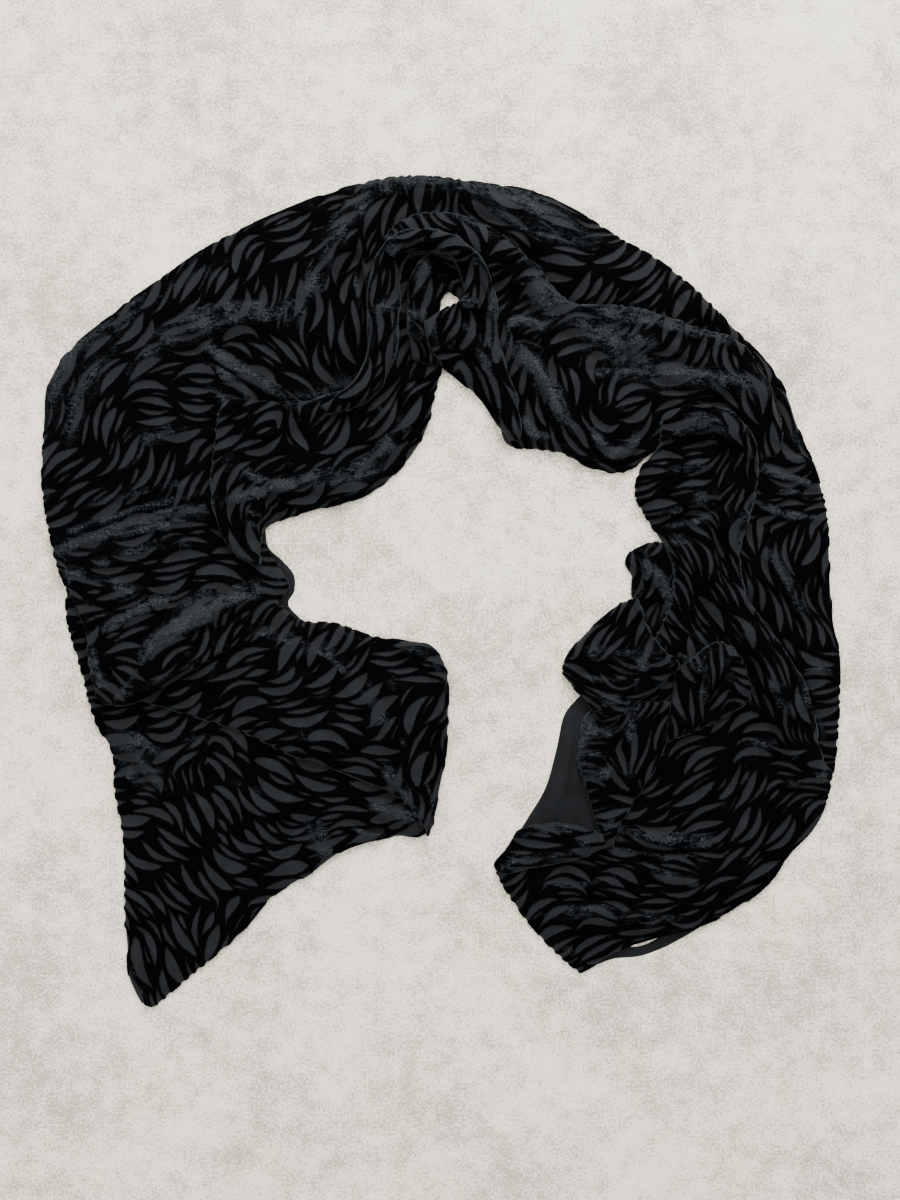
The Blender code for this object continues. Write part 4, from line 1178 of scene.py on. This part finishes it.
def velvet_material(colours):
    """Black pile and burnt-out strokes, painted sheen on folds and painted shade in hollows."""
    shading = Shading("burnt_out_velvet")
    place = shading.place()
    fuzz = shading.noise(place, FUZZ, detail=1.0)
    ragged = shading.noise(place, RAGGED, detail=2.0)
    patches = shading.noise(place, PATCHES, detail=3.0, roughness=0.6)
    long_place = shading.stretched(place, STREAK_SHAPE)
    streaks = shading.noise(long_place, STREAKS, detail=4.0, roughness=0.8)
    sparkle = shading.noise(place, SPARKLE, detail=1.0).step(*SPARKLE_STEP)
    depth = shading.attribute("stroke_depth") + fuzz.swing(EDGE_FUZZ) + ragged.swing(EDGE_RAGGED)
    burnt = depth.step(*BURNT_STEP)
    nap = shading.attribute("nap")
    # Painted shade: strokes and painted sheen are darkened where the cloth lies deep among folds
    shade = shading.attribute("hollow").step(*SHADE_STEP)
    # Painted sheen: the pile's colour is lightened towards the sheen colour, with painted sparkles
    rough = streaks.swing(LIT_STREAKS) + fuzz.swing(LIT_FUZZ) + patches.swing(LIT_PATCHES)
    lit = (nap + rough).step(*LIT_STEP) * nap.step(*PAINTED_SHEEN_STEP) * (1 - shade * LIT_SHADE)
    pile_tone = (lit * (PILE_GLOW + sparkle * PILE_SPARKLE)).clamped()
    pile = shading.cloth(
        Base_Color=shading.mix(pile_tone, colours.pile, colours.nap),
        Roughness=0.95,
        Specular_IOR_Level=0.02,
        Sheen_Weight=0.09,
        Sheen_Roughness=0.2,
        Sheen_Tint=PILE_SHEEN_TINT,
        Normal=shading.bump(fuzz, distance=0.0008, strength=0.5),
    )
    threads = weave(shading, place, VELVET_PITCH)
    tone = BARE_TONE + threads * BARE_THREADS + patches.swing(BARE_PATCHES)
    tone = (tone * (1 - shade * BARE_SHADE)).clamped()
    bare = shading.cloth(
        Base_Color=shading.mix(tone, scaled(colours.burnt, BARE_DARK), colours.burnt),
        Roughness=0.72,
        Specular_IOR_Level=0.12,
        Sheen_Weight=0.03,
        Sheen_Roughness=0.5,
        Normal=shading.bump(threads, distance=0.0003, strength=0.35),
    )
    bare_share = (1 - lit * (SHEEN_OVER_STROKE + sparkle * SHEEN_OVER_STROKE_SPARKLE)) * burnt
    mixed = shading.add("ShaderNodeMixShader", None, {0: bare_share, 1: pile, 2: bare})
    return shading.finish(mixed)


def lining_material(colours):
    """Plain thin lining with a fine weave and faint creases."""
    shading = Shading("plain_lining")
    place = shading.place()
    threads = weave(shading, place, LINING_PITCH)
    cloudy = shading.noise(place, LINING_CLOUDS, detail=3.0)
    tone = LINING_TONE + threads * LINING_THREADS + cloudy.swing(LINING_MOTTLE)
    dark, light = scaled(colours.lining, LINING_DARK), scaled(colours.lining, LINING_LIGHT)
    crease = shading.noise(shading.stretched(place, CREASE_SHAPE), CREASES, detail=2.0)
    cloth = shading.cloth(
        Base_Color=shading.mix(tone.clamped(), dark, light),
        Roughness=0.68,
        Specular_IOR_Level=0.12,
        Sheen_Weight=0.03,
        Sheen_Roughness=0.5,
        Normal=shading.bump(threads * THREAD_BUMP + crease, distance=0.001, strength=0.5),
    )
    return shading.finish(cloth)


def table_material(colours):
    """A pale plaster-like surface with soft grey clouds and fine mottles."""
    shading = Shading("pale_table")
    place = shading.place()
    clouds = shading.noise(place, CLOUDS, detail=5.0, roughness=0.6)
    mottles = shading.noise(place, MOTTLES, detail=6.0, roughness=0.75)
    grain = shading.noise(place, GRAIN, detail=2.0, roughness=0.75)
    blush = shading.noise(place, BLUSH, detail=3.0).step(*BLUSH_STEP)
    rosy = [channel * share for channel, share in zip(colours.table, ROSY)]
    tone = TABLE_TONE + clouds.swing(CLOUD_SWING) + mottles.swing(MOTTLE_SWING)
    tone = (tone + grain.swing(GRAIN_SWING)).clamped()
    pale = shading.mix(blush, colours.table, rosy)
    surface = shading.cloth(
        Base_Color=shading.mix(tone, pale, scaled(colours.table, TABLE_DARK)),
        Roughness=0.8,
        Specular_IOR_Level=0.3,
        Normal=shading.bump(mottles, distance=0.0006, strength=0.3),
    )
    return shading.finish(surface)


class Workshop:
    """What the operators share while the scarf is laid out."""

    pieces = []
    table = None
    velvet = None
    lining = None


# The hidden solids for which a piece stands as well
HIDDEN_UNDER = {
    "outer_left": ["hidden_left"],
    "outer_top": ["hidden_top"],
    "outer_right": ["hidden_right"],
}


def lay(context, stretches):
    """Lays stretches in order, each as one piece for each of its solids."""
    sizes, colours = context.scene.scarf_sizes, context.scene.scarf_colours
    if Workshop.table is None:
        Workshop.table = HeightMap()
        Workshop.velvet = velvet_material(colours)
        Workshop.lining = lining_material(colours)
    for stretch in stretches:
        seed = sum(map(ord, stretch.names[0]))
        surface = surface_of(stretch, sizes, Workshop.table, seed)
        rows = len(surface.lower)
        ends = [0]
        for cut in stretch.cuts:
            ends.append(UNDERSIDE_STRIDE * round(cut * (rows - 1) / UNDERSIDE_STRIDE))
        ends.append(rows - 1)
        for node, first, last in zip(stretch.names, ends[:-1], ends[1:]):
            dress(context, node, part_of(surface, first, last), stretch.lining)
    return {"FINISHED"}


def dress(context, node, surface, lining):
    """Makes one piece with its material, says which solid it stands for, and hides that solid."""
    piece = bpy.data.objects.new(f"{node}_cloth", shell_mesh(f"{node}_cloth", surface))
    piece.data.materials.append(Workshop.lining if lining else Workshop.velvet)
    context.scene.collection.objects.link(piece)
    Workshop.pieces.append(piece)
    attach(piece, "root")
    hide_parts(node, *HIDDEN_UNDER.get(node, []))


class SCARF_OT_linings(bpy.types.Operator):
    """Lay the lining where it shows"""

    bl_idname = "scarf.linings"
    bl_label = "Turned-out lining"

    def execute(self, context):
        return lay(context, [LINING_LEFT, LINING_END, LINING_RIGHT])


class SCARF_OT_left_end(bpy.types.Operator):
    """Lay the scarf's left end and its fold"""

    bl_idname = "scarf.left_end"
    bl_label = "Left end"

    def execute(self, context):
        return lay(context, [LEFT_END_LOWER, LEFT_END_UPPER])


class SCARF_OT_outer_band(bpy.types.Operator):
    """Lay the long outer stretch"""

    bl_idname = "scarf.outer_band"
    bl_label = "Outer band"

    def execute(self, context):
        return lay(context, [OUTER_BAND])


class SCARF_OT_left_folds(bpy.types.Operator):
    """Lay the large lobe on the left"""

    bl_idname = "scarf.left_folds"
    bl_label = "Left folds"

    def execute(self, context):
        return lay(context, [LEFT_LOBE])


class SCARF_OT_top_folds(bpy.types.Operator):
    """Lay the folds round the pinched top"""

    bl_idname = "scarf.top_folds"
    bl_label = "Top folds"

    def execute(self, context):
        return lay(context, [TOP_FOLD, ARCH_INNER, ARCH])


class SCARF_OT_right_folds(bpy.types.Operator):
    """Lay the folds and the end on the right"""

    bl_idname = "scarf.right_folds"
    bl_label = "Right folds"

    def execute(self, context):
        return lay(
            context,
            [RIGHT_RUFFLE, RIGHT_FALL, RIGHT_FRILL, RIGHT_END_FLAP, RIGHT_LOBE, RIGHT_POCKET],
        )


class SCARF_OT_hollows(bpy.types.Operator):
    """Work out how deep each place lies among the folds, for the painted shade there"""

    bl_idname = "scarf.hollows"
    bl_label = "Hollows"

    def execute(self, context):
        levels = [softened(Workshop.table.z, reach) for reach in HOLLOW_REACHES]
        for piece in Workshop.pieces:
            shade_hollows(piece.data, levels)
        return {"FINISHED"}


# The stage, in metres
TABLE_SIDE = 6
SKY_COLOUR = (0.93, 0.96, 1.0, 1.0)
SKY_STRENGTH = 1.2
Light = namedtuple("Light", "name place size power")
LIGHTS = [
    Light("window", (0.5, 1.7, 1.3), 1.3, 88.0),
    Light("fill", (-1.6, 0.1, 1.6), 1.8, 28.0),
]
PICTURE_LENGTH = 0.96  # the table's length that the picture shows
PICTURE_MIDDLE = (0.0076, -0.006)  # the place straight under the camera
SENSOR = 36.0  # millimetres


class SCARF_OT_stage(bpy.types.Operator):
    """Make the pale table, the soft lights and the camera straight above"""

    bl_idname = "scarf.stage"
    bl_label = "Stage"

    def execute(self, context):
        scene = context.scene
        bpy.ops.mesh.primitive_grid_add(x_subdivisions=4, y_subdivisions=4, size=TABLE_SIDE)
        table = context.object
        table.name = "pale_table"
        table.data.materials.append(table_material(scene.scarf_colours))
        world = bpy.data.worlds.new("soft_daylight")
        world.use_nodes = True
        background = world.node_tree.nodes["Background"]
        background.inputs["Color"].default_value = SKY_COLOUR
        background.inputs["Strength"].default_value = SKY_STRENGTH
        scene.world = world
        for name, place, size, power in LIGHTS:
            lamp = bpy.data.lights.new(name, "AREA")
            lamp.energy = power
            lamp.size = size
            light = bpy.data.objects.new(name, lamp)
            light.location = place
            towards = -light.location.normalized()
            light.rotation_euler = towards.to_track_quat("-Z", "Y").to_euler()
            scene.collection.objects.link(light)
        height = scene.scarf_sizes.camera_height
        view = bpy.data.cameras.new("from_above")
        view.sensor_fit = "VERTICAL"
        view.sensor_height = SENSOR
        view.lens = view.sensor_height * height / PICTURE_LENGTH
        camera = bpy.data.objects.new("from_above", view)
        camera.location = (*PICTURE_MIDDLE, height)
        scene.collection.objects.link(camera)
        scene.camera = camera
        return {"FINISHED"}


class SCARF_PT_panel(bpy.types.Panel):
    """The scarf's steps, sizes and colours"""

    bl_idname = "SCARF_PT_panel"
    bl_label = "Velvet scarf"
    bl_space_type = "VIEW_3D"
    bl_region_type = "UI"
    bl_category = "Scarf"

    def draw(self, context):
        for group in (context.scene.scarf_sizes, context.scene.scarf_colours):
            for name in group.__annotations__:
                self.layout.prop(group, name)
        for operator in OPERATORS:
            self.layout.operator(operator.bl_idname)


OPERATORS = [
    SCARF_OT_linings,
    SCARF_OT_left_end,
    SCARF_OT_outer_band,
    SCARF_OT_left_folds,
    SCARF_OT_top_folds,
    SCARF_OT_right_folds,
    SCARF_OT_hollows,
    SCARF_OT_stage,
]
CLASSES = [ScarfSizes, ScarfColours, *OPERATORS, SCARF_PT_panel]


def register():
    for each in CLASSES:
        bpy.utils.register_class(each)
    bpy.types.Scene.scarf_sizes = bpy.props.PointerProperty(type=ScarfSizes)
    bpy.types.Scene.scarf_colours = bpy.props.PointerProperty(type=ScarfColours)


def unregister():
    del bpy.types.Scene.scarf_colours
    del bpy.types.Scene.scarf_sizes
    for each in reversed(CLASSES):
        bpy.utils.unregister_class(each)


def main():
    register()
    for operator in OPERATORS:
        getattr(bpy.ops.scarf, operator.bl_idname.split(".")[1])()


if __name__ == "__main__":
    main()
